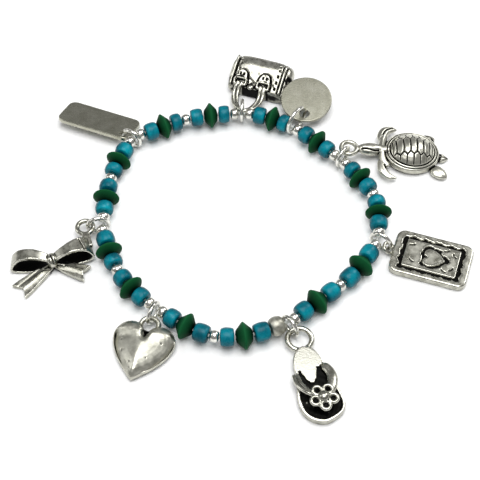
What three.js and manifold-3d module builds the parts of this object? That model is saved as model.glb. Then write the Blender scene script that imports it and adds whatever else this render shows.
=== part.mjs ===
// Stretch charm bracelet of glass beads and silver charms, laid flat. Millimetres, +Z up.
// The origin is the middle of the footprint, on the surface that the bracelet lies on.

import * as THREE from 'three';
import { mergeVertices } from 'three/addons/utils/BufferGeometryUtils.js';
import Module from 'manifold-3d';

const wasm = await Module();
wasm.setup();

// Beads: diameter, length along the string, the flat face round the hole, and the place of the
// shoulder as a share of the half length
const TURQUOISE = { diameter: 4.1, length: 2.86, face: 3, shoulder: 0.55 };
const GREEN = { diameter: 5.9, length: 3.35, rim: 0.7 };
const SPACER = { diameter: 2.8, length: 1.95, face: 1.7, shoulder: 0.4 };
const BIG_SPACER = { diameter: 4.2, length: 3.2, face: 2.4, shoulder: 0.4 };
const TURQUOISE_LENGTH_SHARES = [1, 0.93, 1.08, 0.97, 1.04, 0.92, 1.06];
const BEAD_HOLE = 1.2;
const BEAD_GAP = 0.12;
const ELASTIC_DIAMETER = 0.7;

// Jump rings: outer diameter and wire
const RING = { diameter: 5.5, wire: 0.9 };
const WIDE_RING = { diameter: 7.2, wire: 0.9 };
const RING_PLAY = 0.32;
const LINK_CLEARANCE = 0.18;

// Flat tags. roll: turn of the bar tag about its length, in degrees
const BAR_TAG = {
  length: 18.4, width: 8.5, thickness: 1, corner: 1.8, hole: 1.9, endInset: 2, sideInset: 2, roll: 16,
};
const ROUND_TAG = {
  diameter: 12, thickness: 0.8, hole: 2.2, inset: 2.1, restReach: 6.2, restGap: 0.3, restDepth: 0.1,
};
const PLATE_CHAMFER = 0.15;

// Handbag, lying on its back with the handle towards the beads. shift: the body's middle from
// the handle's, across the bag. endDrop: share of the depth that the two ends fall by.
const BAG = {
  width: 15.2, height: 9.3, mouthDepth: 3.1, depth: 5.4, endDrop: 0.3, shift: -1.3, corner: 0.45,
  shoulder: 1.4,
};
const BAG_HANDLE = { reach: 6.7, spread: 6.4, wire: 1.2, sink: 0.8 };
const BAG_STRAP = { width: 2.1, thickness: 0.95, proud: 0.45, spacing: 5.6, length: 5.2 };
const BAG_BUCKLE = { diameter: 3.4, wire: 0.7, fromMouth: 2.7 };
const BAG_SEAM = { wire: 0.5, proud: 0.15, stops: [0.04, 0.36, 0.7, 0.88] };

// Turtle
const SHELL = { length: 12.8, width: 11.4, height: 4.5, rimHeight: 1.7, rimWidth: 0.8, edge: 0.5 };
const SCUTE = { count: 6, length: 1.45, width: 5.2, depth: 1.6, proud: 0.35, span: 9 };
const TURTLE_RING = { diameter: 4.6, wire: 0.95 };
const TURTLE_HEAD = { length: 5.6, width: 3.3, height: 2.7, neck: 2.1, neckGap: 0.7, sink: 1 };
const FLIPPER = { thickness: 1.2, reach: 7.4, sweep: 3.2, width: 2.2, ahead: 0.7 };
const HIND_FLIPPER = { length: 4.4, width: 3.2, thickness: 1.9 };
const TAIL = { length: 3, width: 2.4, height: 1.6, sink: 0.9, shift: -0.9 };

// Card with a heart
const CARD = { length: 17, width: 11.3, thickness: 1.7, corner: 1.9, rim: 1.25, chamfer: 0.25 };
const CARD_CHANNEL = { width: 1.1, depth: 0.6 };
const CARD_HEART = { length: 4.6, width: 4.4, moat: 0.7, shift: 0.6, proud: 0.2, crown: 0.7 };
const CARD_BAIL = { diameter: 3.1, wire: 0.8 };

// Flip-flop sandal. shift: the sole's middle from its ring's, across the sandal. middle: the
// footbed's middle as a share of the length. across: the toe post from the sole's middle.
const SANDAL = {
  length: 17.2, ball: 9, heel: 5.8, thickness: 1.7, rim: 0.75, recess: 0.6, shift: -0.1, chamfer: 0.2,
  middle: 0.72,
};
const SANDAL_RING = { diameter: 6.2, wire: 1 };
const SANDAL_STRAP = {
  wire: 1.3, rise: 1.5, fromHeel: 6.2, toePost: 12.9, across: 0.5, spread: 4.6, crest: 0.67,
};
const FLOWER = { petals: 5, diameter: 6.1, petal: 2.4, wire: 0.65, boss: 2.2, bossHeight: 1.3, lift: 0.4 };

// Puffed heart. start and shift: the lobes' near edge and the middle line from its ring
const HEART = { length: 12.9, width: 13.2, thickness: 3.3, shift: -0.1, start: -0.4 };
const HEART_RING = { diameter: 4.8, wire: 0.95, stem: 1.25, level: 0.42 };

// Bow. inset and across: the inner loop's end and the knot from the bow's ring
const BOW_LOOP = { length: 9, height: 4.4, ribbon: 3.6, wall: 0.7, lift: 9.2, inset: -0.95, middle: 0.58 };
const BOW_KNOT = { across: 7.4, length: 2.6, width: 4, height: 2.8, foot: 2.1 };
const BOW_TAIL = { width: 3.7, thickness: 1, notch: 1.4, chamfer: 0.12 };
const BOW_TAILS = [{ along: 7.4, across: 5.3 }, { along: -6.5, across: 3.6 }];
const BOW_RING = { diameter: 4.6, wire: 0.95 };
const BOW_LUG = { width: 2, thickness: 1.1, corner: 0.2, chamfer: 0.1, sink: 1 };

// Sides of the round sections
const TURQUOISE_SIDES = 10;
const GREEN_SIDES = 12;
const SPACER_SIDES = 10;
const WIRE_SIDES = 6;
const ELASTIC_SIDES = 5;
const RING_SIDES = 12;
const ELASTIC_STEP = 3;
const CORNER_STEPS = 3;
const ROUND_STEPS = 12;

// Route of the bead string, clockwise from the bar tag: polar angle in degrees, then radius.
// It is the way the loose loop lies, and only its form counts: its length follows the beads.
const ROUTE = [
  [138.6, 32.4], [118, 30.8], [97, 29.7], [80, 29.3], [62, 27.9], [43, 27.2], [26, 28.2],
  [10, 29.9], [-8, 29.6], [-28, 28.1], [-55, 26.7], [-72, 28.0], [-88, 29.6], [-103, 30.2],
  [-125, 28.9], [-147, 29.3], [-172, 29.6], [165, 30.3], [151, 31.5],
];

// Beads after each charm's ring, up to the next one: T turquoise, G green, S spacer
const RUN = ['S', 'T', 'G', 'T', 'S', 'T', 'G', 'T', 'S'];
const WIDE_RING_BEFORE = 4;
const BIG_SPACER_AFTER = 'flip_flop';
const WIDE_RING_AFTER = 'handbag';

// Slots, clockwise. beads: length of the glass beads that follow, as a share of the usual one.
// skew: turn of the jump ring out of square, in degrees. grip: place of the charm on the ring,
// in degrees above its outermost point. hang: way from there to the middle of the charm's own
// loop, and turn: the way the charm points, both from the ring's own direction.
const SLOTS = [
  { charm: 'bar_tag', beads: 0.98, skew: 18, grip: -6, hang: 8, turn: 8 },
  { charm: 'handbag', beads: 0.94, skew: 0, grip: -55, hang: -16, turn: -16 },
  { charm: 'turtle', beads: 0.88, skew: 12, grip: 5, hang: 6, turn: -56 },
  { charm: 'card', beads: 1.18, skew: -12, grip: -40, hang: 12, turn: 12 },
  { charm: 'flip_flop', beads: 1.12, skew: 6, grip: -58, hang: 0, turn: -21 },
  { charm: 'heart', beads: 0.95, skew: 12, grip: -35, hang: 16, turn: 10 },
  { charm: 'bow', beads: 0.93, skew: 6, grip: -15, hang: -3, turn: 0 },
];
const WIDE_SLOT = { charm: 'round_tag', skew: -6, grip: -13, hang: 31, turn: 31 };

const UP = new THREE.Vector3(0, 0, 1);
const STRING_HEIGHT = GREEN.diameter / 2;

// Solids

function toSolid(geometry) {
  const bare = geometry.clone();
  bare.deleteAttribute('normal');
  bare.deleteAttribute('uv');
  const merged = mergeVertices(bare);
  const corners = merged.index.array;
  const faces = [];
  for (let i = 0; i < corners.length; i += 3) {
    const [a, b, c] = corners.slice(i, i + 3);
    if (a !== b && b !== c && c !== a) faces.push(a, b, c);
  }
  return new wasm.Manifold(new wasm.Mesh({
    numProp: 3,
    vertProperties: Float32Array.from(merged.attributes.position.array),
    triVerts: Uint32Array.from(faces),
  }));
}

function toGeometry(solid) {
  const mesh = solid.getMesh();
  const geometry = new THREE.BufferGeometry();
  geometry.setAttribute('position', new THREE.BufferAttribute(mesh.vertProperties, 3));
  geometry.setIndex(new THREE.BufferAttribute(mesh.triVerts, 1));
  geometry.computeVertexNormals();
  return geometry;
}

function joined(geometries) {
  return geometries.map(toSolid).reduce((whole, piece) => whole.add(piece));
}

// A turned profile along Y: rows of radius and place along the axis
function turned(rows, sides) {
  return new THREE.LatheGeometry(rows.map(([r, y]) => new THREE.Vector2(r, y)), sides);
}

// A flat plate with chamfered edges, its back at height low
function plate(shape, thickness, low, chamfer, steps = CORNER_STEPS) {
  const geometry = new THREE.ExtrudeGeometry(shape, {
    depth: thickness - 2 * chamfer,
    bevelEnabled: chamfer > 0,
    bevelSegments: 1,
    bevelSize: chamfer,
    bevelOffset: -chamfer,
    bevelThickness: chamfer,
    curveSegments: steps,
  });
  return geometry.translate(0, 0, low + chamfer);
}

function polygon(sides, radius) {
  const points = [];
  for (let i = 0; i < sides; i++) {
    const angle = (2 * Math.PI * (i + 0.5)) / sides;
    points.push(new THREE.Vector2(radius * Math.cos(angle), radius * Math.sin(angle)));
  }
  return new THREE.Shape(points);
}

function wireAlong(curve, diameter, steps) {
  const section = polygon(WIRE_SIDES, diameter / 2);
  return new THREE.ExtrudeGeometry(section, { steps, bevelEnabled: false, extrudePath: curve });
}

function wireThrough(points, diameter, steps) {
  return wireAlong(new THREE.CatmullRomCurve3(points.map((p) => new THREE.Vector3(...p))), diameter, steps);
}

// A closed wire ring lying flat, its middle at the origin
function flatRing(ring, around = RING_SIDES) {
  return new THREE.TorusGeometry((ring.diameter - ring.wire) / 2, ring.wire / 2, WIRE_SIDES, around);
}

function middleRadius(ring) {
  return (ring.diameter - ring.wire) / 2;
}

function innerRadius(ring) {
  return middleRadius(ring) * Math.cos(Math.PI / RING_SIDES) - ring.wire / 2;
}

function roundedBox(x0, x1, y0, y1, corner) {
  const shape = new THREE.Shape();
  shape.moveTo(x0 + corner, y0);
  shape.lineTo(x1 - corner, y0);
  shape.quadraticCurveTo(x1, y0, x1, y0 + corner);
  shape.lineTo(x1, y1 - corner);
  shape.quadraticCurveTo(x1, y1, x1 - corner, y1);
  shape.lineTo(x0 + corner, y1);
  shape.quadraticCurveTo(x0, y1, x0, y1 - corner);
  shape.lineTo(x0, y0 + corner);
  shape.quadraticCurveTo(x0, y0, x0 + corner, y0);
  return shape;
}

// Share of a heart's length from its lobes to the middle that its levels close in on
const HEART_MIDDLE = 0.42;

// One side of a heart from its notch to its point: shares of the length and of the half width
const HEART_SIDE = [
  [0.2, 0], [0.05, 0.2], [0, 0.5], [0.07, 0.82], [0.25, 1], [0.48, 0.91], [0.7, 0.64], [0.88, 0.3], [1, 0],
];

// Heart outline: lobes at x = 0, point at x = length
function heartOutline(length, width, count) {
  const right = HEART_SIDE.map(([along, across]) => [along * length, (across * width) / 2]);
  const left = right.slice(1, -1).reverse().map(([x, y]) => [x, -y]);
  return smoothOutline([...right, ...left], count).reverse();
}

// A closed body of one outline at several levels: rows of outline share and height
function layered(outline, middle, rows) {
  const vertices = [];
  for (const [share, height] of rows) {
    for (const point of outline) {
      const spot = middle.clone().lerp(point, share);
      vertices.push(spot.x, spot.y, height);
    }
  }
  const count = outline.length;
  vertices.push(middle.x, middle.y, rows[0][1]);
  vertices.push(middle.x, middle.y, rows[rows.length - 1][1]);
  const bottom = rows.length * count;
  const top = bottom + 1;
  const lastRow = (rows.length - 1) * count;
  const faces = [];
  for (let i = 0; i < count; i++) {
    const next = (i + 1) % count;
    faces.push(bottom, next, i);
    faces.push(top, lastRow + i, lastRow + next);
    for (let row = 0; row < rows.length - 1; row++) {
      const low = row * count;
      const high = low + count;
      faces.push(low + i, low + next, high + next);
      faces.push(low + i, high + next, high + i);
    }
  }
  const geometry = new THREE.BufferGeometry();
  geometry.setAttribute('position', new THREE.Float32BufferAttribute(vertices, 3));
  geometry.setIndex(faces);
  geometry.computeVertexNormals();
  return geometry;
}

function ellipsoid(x, y, z, length, width, height, around = 10, rows = 6) {
  const ball = new THREE.SphereGeometry(0.5, around, rows);
  return ball.rotateX(Math.PI / 2).scale(length, width, height).translate(x, y, z);
}

function smoothOutline(points, count) {
  const curve = new THREE.CatmullRomCurve3(points.map(([x, y]) => new THREE.Vector3(x, y, 0)), true);
  return curve.getPoints(count).slice(0, count).map((p) => new THREE.Vector2(p.x, p.y));
}

// Beads

function barrelBead(bead, length) {
  const outer = bead.diameter / 2;
  const end = length / 2;
  const shoulder = bead.shoulder * end;
  return turned([
    [BEAD_HOLE / 2, -end], [bead.face / 2, -end], [outer, -shoulder],
    [outer, shoulder], [bead.face / 2, end], [BEAD_HOLE / 2, end], [BEAD_HOLE / 2, -end],
  ], TURQUOISE_SIDES);
}

function saucerBead(bead, length) {
  const end = length / 2;
  const rim = bead.rim / 2;
  const outer = bead.diameter / 2;
  return turned([
    [BEAD_HOLE / 2, -end], [outer, -rim], [outer, rim], [BEAD_HOLE / 2, end], [BEAD_HOLE / 2, -end],
  ], GREEN_SIDES);
}

function spacerBead(bead) {
  const end = bead.length / 2;
  const shoulder = bead.shoulder * end;
  const outer = bead.diameter / 2;
  return turned([
    [0, -end], [bead.face / 2, -end], [outer, -shoulder], [outer, shoulder], [bead.face / 2, end], [0, end],
  ], SPACER_SIDES);
}

// Charms. Each is built round its own loop: the origin is the loop's middle, +X leads away
// from the beads and +Z out of its face. hold is the distance from the origin to the wire that
// the jump ring holds. The charm rests at reach along +X and below under the origin, on the
// surface or on something of a height.

function barTag() {
  const { length, width, thickness, corner, hole, endInset, sideInset, roll } = BAR_TAG;
  const shape = roundedBox(-endInset, length - endInset, sideInset - width, sideInset, corner);
  shape.holes.push(new THREE.Path().absarc(0, 0, hole / 2, 0, 2 * Math.PI, true));
  const body = toSolid(plate(shape, thickness, -thickness / 2, PLATE_CHAMFER));
  const lean = THREE.MathUtils.degToRad(roll);
  const below = (thickness / 2) * Math.cos(lean) + (width - sideInset) * Math.sin(lean);
  return { body, reach: length - endInset, below, roll: lean };
}

// The round tag hangs free and lies on the handbag's corner
function roundTag() {
  const { diameter, thickness, hole, inset, restReach, restGap, restDepth } = ROUND_TAG;
  const shape = new THREE.Shape();
  shape.absarc(diameter / 2 - inset, 0, diameter / 2, 0, 2 * Math.PI);
  shape.holes.push(new THREE.Path().absarc(0, 0, hole / 2, 0, 2 * Math.PI, true));
  const body = toSolid(plate(shape, thickness, -thickness / 2, 0, ROUND_STEPS));
  return { body, reach: restReach, below: thickness / 2 + restGap, height: bagDepth(restDepth) };
}

// Cross-sections of the handbag from its mouth to its base: share of the height, of the half
// width and of the depth
const BAG_SECTIONS = [
  [0, 0.9, 0],
  [0.05, 0.92, 0.05],
  [0.35, 0.98, 0.55],
  [0.7, 1, 1],
  [0.88, 0.95, 0.88],
  [1, 0.76, 0.45],
];

// Depth of the bag at a share of the way from its mouth's depth to its full one
function bagDepth(depthShare) {
  return BAG.mouthDepth + depthShare * (BAG.depth - BAG.mouthDepth);
}

// Top of the bag at a distance from its mouth
function bagTop(fromMouth) {
  const share = fromMouth / BAG.height;
  const after = BAG_SECTIONS.findIndex(([along]) => along >= share);
  const [along1, , depth1] = BAG_SECTIONS[after];
  const [along0, , depth0] = BAG_SECTIONS[after - 1];
  return bagDepth(depth0 + ((depth1 - depth0) * (share - along0)) / (along1 - along0));
}

function bagBody(mouth) {
  const { width, height, endDrop, shift, corner, shoulder } = BAG;
  const vertices = [];
  const faces = [];
  for (const [alongShare, widthShare, depthShare] of BAG_SECTIONS) {
    const x = mouth + alongShare * height;
    const half = (widthShare * width) / 2;
    const top = bagDepth(depthShare);
    const ends = top * (1 - endDrop);
    const ring = [
      [corner - half, 0], [half - corner, 0], [half, corner], [half, ends], [half - shoulder, top],
      [shoulder - half, top], [-half, ends], [-half, corner],
    ];
    for (const [y, z] of ring) vertices.push(x, y + shift, z);
  }
  const count = 8;
  const last = (BAG_SECTIONS.length - 1) * count;
  for (let i = 1; i < count - 1; i++) {
    faces.push(0, i + 1, i);
    faces.push(last, last + i, last + i + 1);
  }
  for (let row = 0; row < last; row += count) {
    for (let i = 0; i < count; i++) {
      const next = (i + 1) % count;
      faces.push(row + i, row + next, row + count + next);
      faces.push(row + i, row + count + next, row + count + i);
    }
  }
  const geometry = new THREE.BufferGeometry();
  geometry.setAttribute('position', new THREE.Float32BufferAttribute(vertices, 3));
  geometry.setIndex(faces);
  return geometry;
}

// One side of the bag's handle from its apex: shares of its reach and of its half spread
const HANDLE_SIDE = [[0.08, 0.42], [0.45, 0.85]];

function bagHandle(mouth, height) {
  const half = BAG_HANDLE.spread / 2;
  const side = (sign) => HANDLE_SIDE.map(([along, across]) => [along * mouth, sign * across * half, height]);
  const foot = mouth + BAG_HANDLE.sink;
  const points = [
    [foot, -half, height], ...side(-1).reverse(), [0, 0, height], ...side(1), [foot, half, height],
  ];
  return wireThrough(points, BAG_HANDLE.wire, 10);
}

// A line over the bag's upper face, its middle at a height above that face
function overBag(mouth, y, places, above) {
  return places.map((fromMouth) => [mouth + fromMouth, y, bagTop(fromMouth) + above]);
}

function bagStrap(mouth, y) {
  const { width, thickness, proud, length } = BAG_STRAP;
  const half = thickness / 2;
  const line = overBag(mouth, y, [proud, length / 2, length], proud - half);
  return new THREE.ExtrudeGeometry(roundedBox(-half, half, -width / 2, width / 2, half / 2), {
    steps: 3,
    bevelEnabled: false,
    curveSegments: 1,
    extrudePath: new THREE.CatmullRomCurve3(line.map((p) => new THREE.Vector3(...p))),
  });
}

function handbag() {
  const mouth = BAG_HANDLE.reach - BAG_HANDLE.wire / 2;
  const handleHeight = BAG.mouthDepth / 2;
  const pieces = [bagBody(mouth), bagHandle(mouth, handleHeight)];
  for (const side of [-1, 1]) {
    const strapY = (side * BAG_STRAP.spacing) / 2;
    pieces.push(bagStrap(mouth, strapY));
    const { diameter, wire, fromMouth } = BAG_BUCKLE;
    const buckle = new THREE.TorusGeometry((diameter - wire) / 2, wire / 2, 5, 10);
    pieces.push(buckle.translate(mouth + fromMouth, strapY, bagTop(fromMouth) + BAG_STRAP.proud / 2));
    const seamY = BAG.shift + side * (BAG.width / 2 - BAG.shoulder - BAG_SEAM.wire);
    const stops = BAG_SEAM.stops.map((share) => share * BAG.height);
    pieces.push(wireThrough(overBag(mouth, seamY, stops, BAG_SEAM.proud - BAG_SEAM.wire / 2), BAG_SEAM.wire, 4));
  }
  const body = joined(pieces).translate([0, 0, -handleHeight]);
  return { body, wire: BAG_HANDLE.wire, reach: mouth + BAG.height, below: handleHeight };
}

// Front flipper from the shoulder out: shares of its reach, of its sweep and of its width
const FLIPPER_SECTIONS = [[0.25, 0.3, 0.6], [0.5, 0, 1], [0.78, 0.1, 0.85], [1, 1, 0.4]];

function frontFlipper(side, shoulder) {
  const { reach, sweep, width, thickness, ahead } = FLIPPER;
  const edge = (sign) => FLIPPER_SECTIONS.map(([across, back, share]) => [
    shoulder - ahead + back * sweep + (sign * share * width) / 2, side * across * reach]);
  const outline = smoothOutline([...edge(-1), ...edge(1).reverse()], 14);
  return plate(new THREE.Shape(outline), thickness, 0, PLATE_CHAMFER);
}

// Hind flippers: side, place as shares of the shell's half length and half width, and splay in
// degrees
const HIND_FLIPPERS = [
  { side: -1, along: 0.68, across: 0.72, splay: 38 },
  { side: 1, along: 0.27, across: 0.55, splay: 22 },
];

function hindFlipper({ side, along, across, splay }, shellMiddle) {
  const { length, width, thickness } = HIND_FLIPPER;
  const flipper = ellipsoid(length / 2, 0, thickness / 2, length, width, thickness);
  flipper.rotateZ(side * THREE.MathUtils.degToRad(splay));
  return flipper.translate(shellMiddle + (along * SHELL.length) / 2, (side * across * SHELL.width) / 2, 0);
}

// Shell profile above the rim: share of the radius inside the rim, share of the dome's height
const DOME = [[0.96, 0.25], [0.8, 0.62], [0.45, 0.92]];

function shellDome(x) {
  const { length, width, height, rimHeight, rimWidth, edge } = SHELL;
  const radius = length / 2;
  const inner = radius - rimWidth;
  const dome = DOME.map(([across, up]) => [across * inner, rimHeight + up * (height - rimHeight)]);
  const shell = turned([
    [0, 0], [radius - edge, 0], [radius, edge], [radius, rimHeight - edge / 2], [radius - edge / 2, rimHeight],
    [inner, rimHeight], ...dome, [0, height],
  ], 16);
  return shell.rotateX(Math.PI / 2).scale(1, width / length, 1).translate(x, 0, 0);
}

// A row of tall scutes over the top of the dome
function scutes(x) {
  const { count, length, depth, proud, span } = SCUTE;
  const inner = SHELL.length / 2 - SHELL.rimWidth;
  const pieces = [];
  for (let i = 0; i < count; i++) {
    const offset = ((i - (count - 1) / 2) * span) / count;
    const fall = 1 - (offset / inner) ** 2;
    const top = SHELL.rimHeight + (SHELL.height - SHELL.rimHeight) * fall + proud;
    pieces.push(ellipsoid(x + offset, 0, top - depth / 2, length, SCUTE.width * Math.sqrt(fall), depth, 8, 4));
  }
  return pieces;
}

function turtle() {
  const middle = middleRadius(TURTLE_RING);
  const { length, width, height, neck, neckGap, sink } = TURTLE_HEAD;
  const ringHeight = height / 2;
  const headMiddle = middle + length / 2;
  const shellFront = middle + length + neckGap;
  const shellMiddle = shellFront + SHELL.length / 2;
  const tailMiddle = shellFront + SHELL.length + TAIL.length / 2 - TAIL.sink;
  const body = joined([
    flatRing(TURTLE_RING).translate(0, 0, ringHeight),
    ellipsoid(headMiddle, 0, ringHeight, length, width, height),
    wireThrough([[headMiddle, 0, ringHeight], [shellFront + sink, 0, ringHeight]], neck, 1),
    shellDome(shellMiddle),
    ...scutes(shellMiddle),
    frontFlipper(-1, shellFront),
    frontFlipper(1, shellFront),
    ...HIND_FLIPPERS.map((row) => hindFlipper(row, shellMiddle)),
    ellipsoid(tailMiddle, TAIL.shift, TAIL.height / 2, TAIL.length, TAIL.width, TAIL.height, 8, 5),
  ]).translate([0, 0, -ringHeight]);
  return { body, hold: middle, wire: TURTLE_RING.wire, reach: shellFront + SHELL.length, below: ringHeight };
}

// The card lies flat. Its bail leans up from the edge to the jump ring, whose grip is at the
// given height.
function card(gripHeight) {
  const { length, width, thickness, corner, rim, chamfer } = CARD;
  const bailMiddle = middleRadius(CARD_BAIL);
  const lean = Math.asin((gripHeight - thickness / 2) / (2 * bailMiddle));
  const edge = 2 * bailMiddle * Math.cos(lean);
  const end = edge + length;
  const half = width / 2;
  const inset = (by, round) => roundedBox(edge + by, end - by, by - half, half - by, round);
  const channel = inset(rim, corner / 2);
  channel.holes.push(new THREE.Path(inset(rim + CARD_CHANNEL.width, corner / 4).getPoints(2)));
  const floor = thickness - CARD_CHANNEL.depth;
  const above = thickness + CARD_CHANNEL.depth;
  const heartX = edge + (length - CARD_HEART.length) / 2 + CARD_HEART.shift;
  const heartAt = (grow) => heartOutline(CARD_HEART.length + 2 * grow, CARD_HEART.width + 2 * grow, 16)
    .map((p) => new THREE.Vector2(p.x + heartX - grow, p.y));
  const heartMiddle = new THREE.Vector2(heartX + HEART_MIDDLE * CARD_HEART.length, 0);
  const moat = layered(heartAt(CARD_HEART.moat), heartMiddle, [[1, floor], [1, above]]);
  const heart = layered(heartAt(0), heartMiddle,
    [[1, floor - CARD_HEART.proud], [1, thickness], [CARD_HEART.crown, thickness + CARD_HEART.proud]]);
  const bail = flatRing(CARD_BAIL).translate(bailMiddle, 0, 0).rotateY(lean).translate(0, 0, gripHeight);
  const body = toSolid(plate(inset(0, corner), thickness, 0, chamfer))
    .subtract(toSolid(plate(channel, above - floor, floor, 0)))
    .subtract(toSolid(moat))
    .add(joined([heart, bail]))
    .translate([0, 0, -gripHeight]);
  return { body, wire: CARD_BAIL.wire, reach: end, below: gripHeight };
}

// Sections of the sole from heel to toe: share of the length, shares of the half width to the
// right and to the left, and share of the way from the heel's half width to the ball's
const SOLE = [
  [0, 0.1, 0.1, 0], [0.05, 0.64, 0.64, 0], [0.18, 1, 1, 0], [0.4, 1, 0.97, 0.3],
  [0.62, 0.98, 0.95, 1], [0.8, 1.07, 0.94, 1], [0.93, 0.84, 0.66, 1], [1, 0.24, 0.2, 1],
];

function soleOutline(heelX) {
  const { length, ball, heel, shift } = SANDAL;
  const half = (share) => (heel + share * (ball - heel)) / 2;
  const right = SOLE.map(([along, across, , share]) => [heelX + along * length, shift + across * half(share)]);
  const left = SOLE.map(([along, , across, share]) => [heelX + along * length, shift - across * half(share)]);
  return smoothOutline([...right, ...left.reverse()], 22);
}

function flower(x, y, height) {
  const { petals, diameter, petal, wire, boss, bossHeight, lift } = FLOWER;
  const ring = (diameter - petal) / 2;
  const pieces = [ellipsoid(x, y, height + bossHeight / 2, boss, boss, bossHeight, 8, 5)];
  for (let i = 0; i < petals; i++) {
    const angle = (2 * Math.PI * (i + 0.5)) / petals;
    const round = new THREE.TorusGeometry((petal - wire) / 2, wire / 2, 5, 8);
    pieces.push(round.translate(x + ring * Math.cos(angle), y + ring * Math.sin(angle), height + lift));
  }
  return pieces;
}

function flipFlop() {
  const middle = middleRadius(SANDAL_RING);
  const heelX = middle - SANDAL_RING.wire / 2;
  const { length, thickness, rim, recess, shift, chamfer } = SANDAL;
  const { wire, rise, fromHeel, toePost, across, spread, crest } = SANDAL_STRAP;
  const outline = soleOutline(heelX);
  const sole = plate(new THREE.Shape(outline), thickness, 0, chamfer);
  const centre = new THREE.Vector2(heelX + SANDAL.middle * length, shift);
  const inside = 1 - (2 * rim) / SANDAL.ball;
  const footbed = outline.map((p) => centre.clone().lerp(p, inside)).filter((p) => p.x > heelX + fromHeel);
  const hollow = plate(new THREE.Shape(footbed), thickness, thickness - recess, 0);
  const bridge = thickness + rise;
  const post = heelX + toePost;
  const postY = shift + across;
  const straps = [-1, 1].map((side) => wireThrough([
    [heelX + fromHeel, shift + (side * spread) / 2, thickness - wire / 2],
    [heelX + (fromHeel + toePost) / 2, shift + (side * crest * spread) / 2, thickness + crest * rise],
    [post, postY, bridge],
  ], wire, 5));
  const toe = wireThrough([[post, postY, thickness - recess - wire / 2], [post, postY, bridge]], wire, 1);
  const ring = flatRing(SANDAL_RING).translate(0, 0, thickness / 2);
  const body = toSolid(sole)
    .subtract(toSolid(hollow))
    .add(joined([...straps, toe, ...flower(post, postY, bridge), ring]))
    .translate([0, 0, -thickness / 2]);
  return { body, hold: middle, wire: SANDAL_RING.wire, reach: heelX + length, below: thickness / 2 };
}

// Levels of the puffed heart: share of the outline, share of the thickness
const HEART_LEVELS = [
  [0.86, 0], [0.97, 0.14], [1, 0.34], [0.94, 0.62], [0.78, 0.86], [0.45, 1],
];

function heart() {
  const { length, width, thickness, shift, start } = HEART;
  const middle = middleRadius(HEART_RING);
  const outline = heartOutline(length, width, 24).map((p) => new THREE.Vector2(p.x + start, p.y + shift));
  const centre = new THREE.Vector2(start + HEART_MIDDLE * length, shift);
  const rows = HEART_LEVELS.map(([share, level]) => [share, level * thickness]);
  const ringHeight = HEART_RING.level * thickness;
  const stem = wireThrough([[middle, 0, ringHeight], [centre.x, shift, ringHeight]], HEART_RING.stem, 1);
  const body = joined([layered(outline, centre, rows), flatRing(HEART_RING).translate(0, 0, ringHeight), stem])
    .translate([0, 0, -ringHeight]);
  return { body, hold: middle, wire: HEART_RING.wire, reach: start + length, below: ringHeight };
}

// Side outline of a ribbon loop, from the knot out and back: shares of length and height
const LOOP_OUTLINE = [
  [0, 0.5], [0.25, 0.84], [0.6, 1], [0.88, 0.9], [1, 0.52], [0.88, 0.12], [0.6, 0], [0.25, 0.14],
];

// A loop that leaves the knot at an angle, its open sides facing across the bow
function ribbonLoop(knotX, angle) {
  const { length, height, ribbon, wall, middle } = BOW_LOOP;
  const outer = smoothOutline(LOOP_OUTLINE.map(([along, up]) => [along * length, up * height]), 14);
  const centre = new THREE.Vector2(middle * length, height / 2);
  const shares = new THREE.Vector2(1 - (2 * wall) / length, 1 - (2 * wall) / height);
  const inner = outer.map((p) => p.clone().sub(centre).multiply(shares).add(centre));
  const upright = (outline, depth) => {
    const prism = new THREE.ExtrudeGeometry(new THREE.Shape(outline), { depth, bevelEnabled: false });
    prism.translate(0, 0, -depth / 2).rotateX(Math.PI / 2);
    return toSolid(prism.rotateZ(angle).translate(knotX, BOW_KNOT.across, 0));
  };
  return upright(outer, ribbon).subtract(upright(inner, 2 * ribbon));
}

// Tail outline from the knot: shares of the tail's length and of its half width
const TAIL_OUTLINE = [
  [0, -0.35], [0.45, -0.75], [1, -1], [0.84, 0], [1, 1], [0.45, 0.75], [0, 0.35],
];

function ribbonTail(knotX, { along, across }) {
  const { width, thickness, notch, chamfer } = BOW_TAIL;
  const length = Math.hypot(along, across) + notch / 2;
  const points = TAIL_OUTLINE.map(([out, side]) => new THREE.Vector2(out * length, (side * width) / 2));
  const tail = plate(new THREE.Shape(points), thickness, 0, chamfer);
  return tail.rotateZ(Math.atan2(across, along)).translate(knotX, BOW_KNOT.across, 0);
}

function bow() {
  const middle = middleRadius(BOW_RING);
  const lift = THREE.MathUtils.degToRad(BOW_LOOP.lift);
  const knotX = BOW_LOOP.inset + BOW_LOOP.length * Math.cos(lift);
  const halfHeight = BOW_LOOP.height / 2;
  const { across, length, width, height, foot } = BOW_KNOT;
  const ringHeight = halfHeight - BOW_LOOP.wall / 2;
  const loopEdge = across - BOW_LOOP.ribbon / 2 - knotX * Math.tan(lift);
  const lugEnd = loopEdge + BOW_LUG.sink;
  const lugShape = roundedBox(-BOW_LUG.width / 2, BOW_LUG.width / 2, middle, lugEnd, BOW_LUG.corner);
  const body = joined([
    ellipsoid(knotX, across, halfHeight, length, width, height, 8, 6),
    wireThrough([[knotX, across, BOW_TAIL.thickness / 2], [knotX, across, halfHeight]], foot, 1),
    ...BOW_TAILS.map((row) => ribbonTail(knotX, row)),
    plate(lugShape, BOW_LUG.thickness, ringHeight - BOW_LUG.thickness / 2, BOW_LUG.chamfer),
    flatRing(BOW_RING).translate(0, 0, ringHeight),
  ]).add(ribbonLoop(knotX, -lift)).add(ribbonLoop(knotX, Math.PI + lift)).translate([0, 0, -ringHeight]);
  return { body, hold: middle, wire: BOW_RING.wire, reach: knotX + BOW_LOOP.length, below: ringHeight };
}

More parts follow.
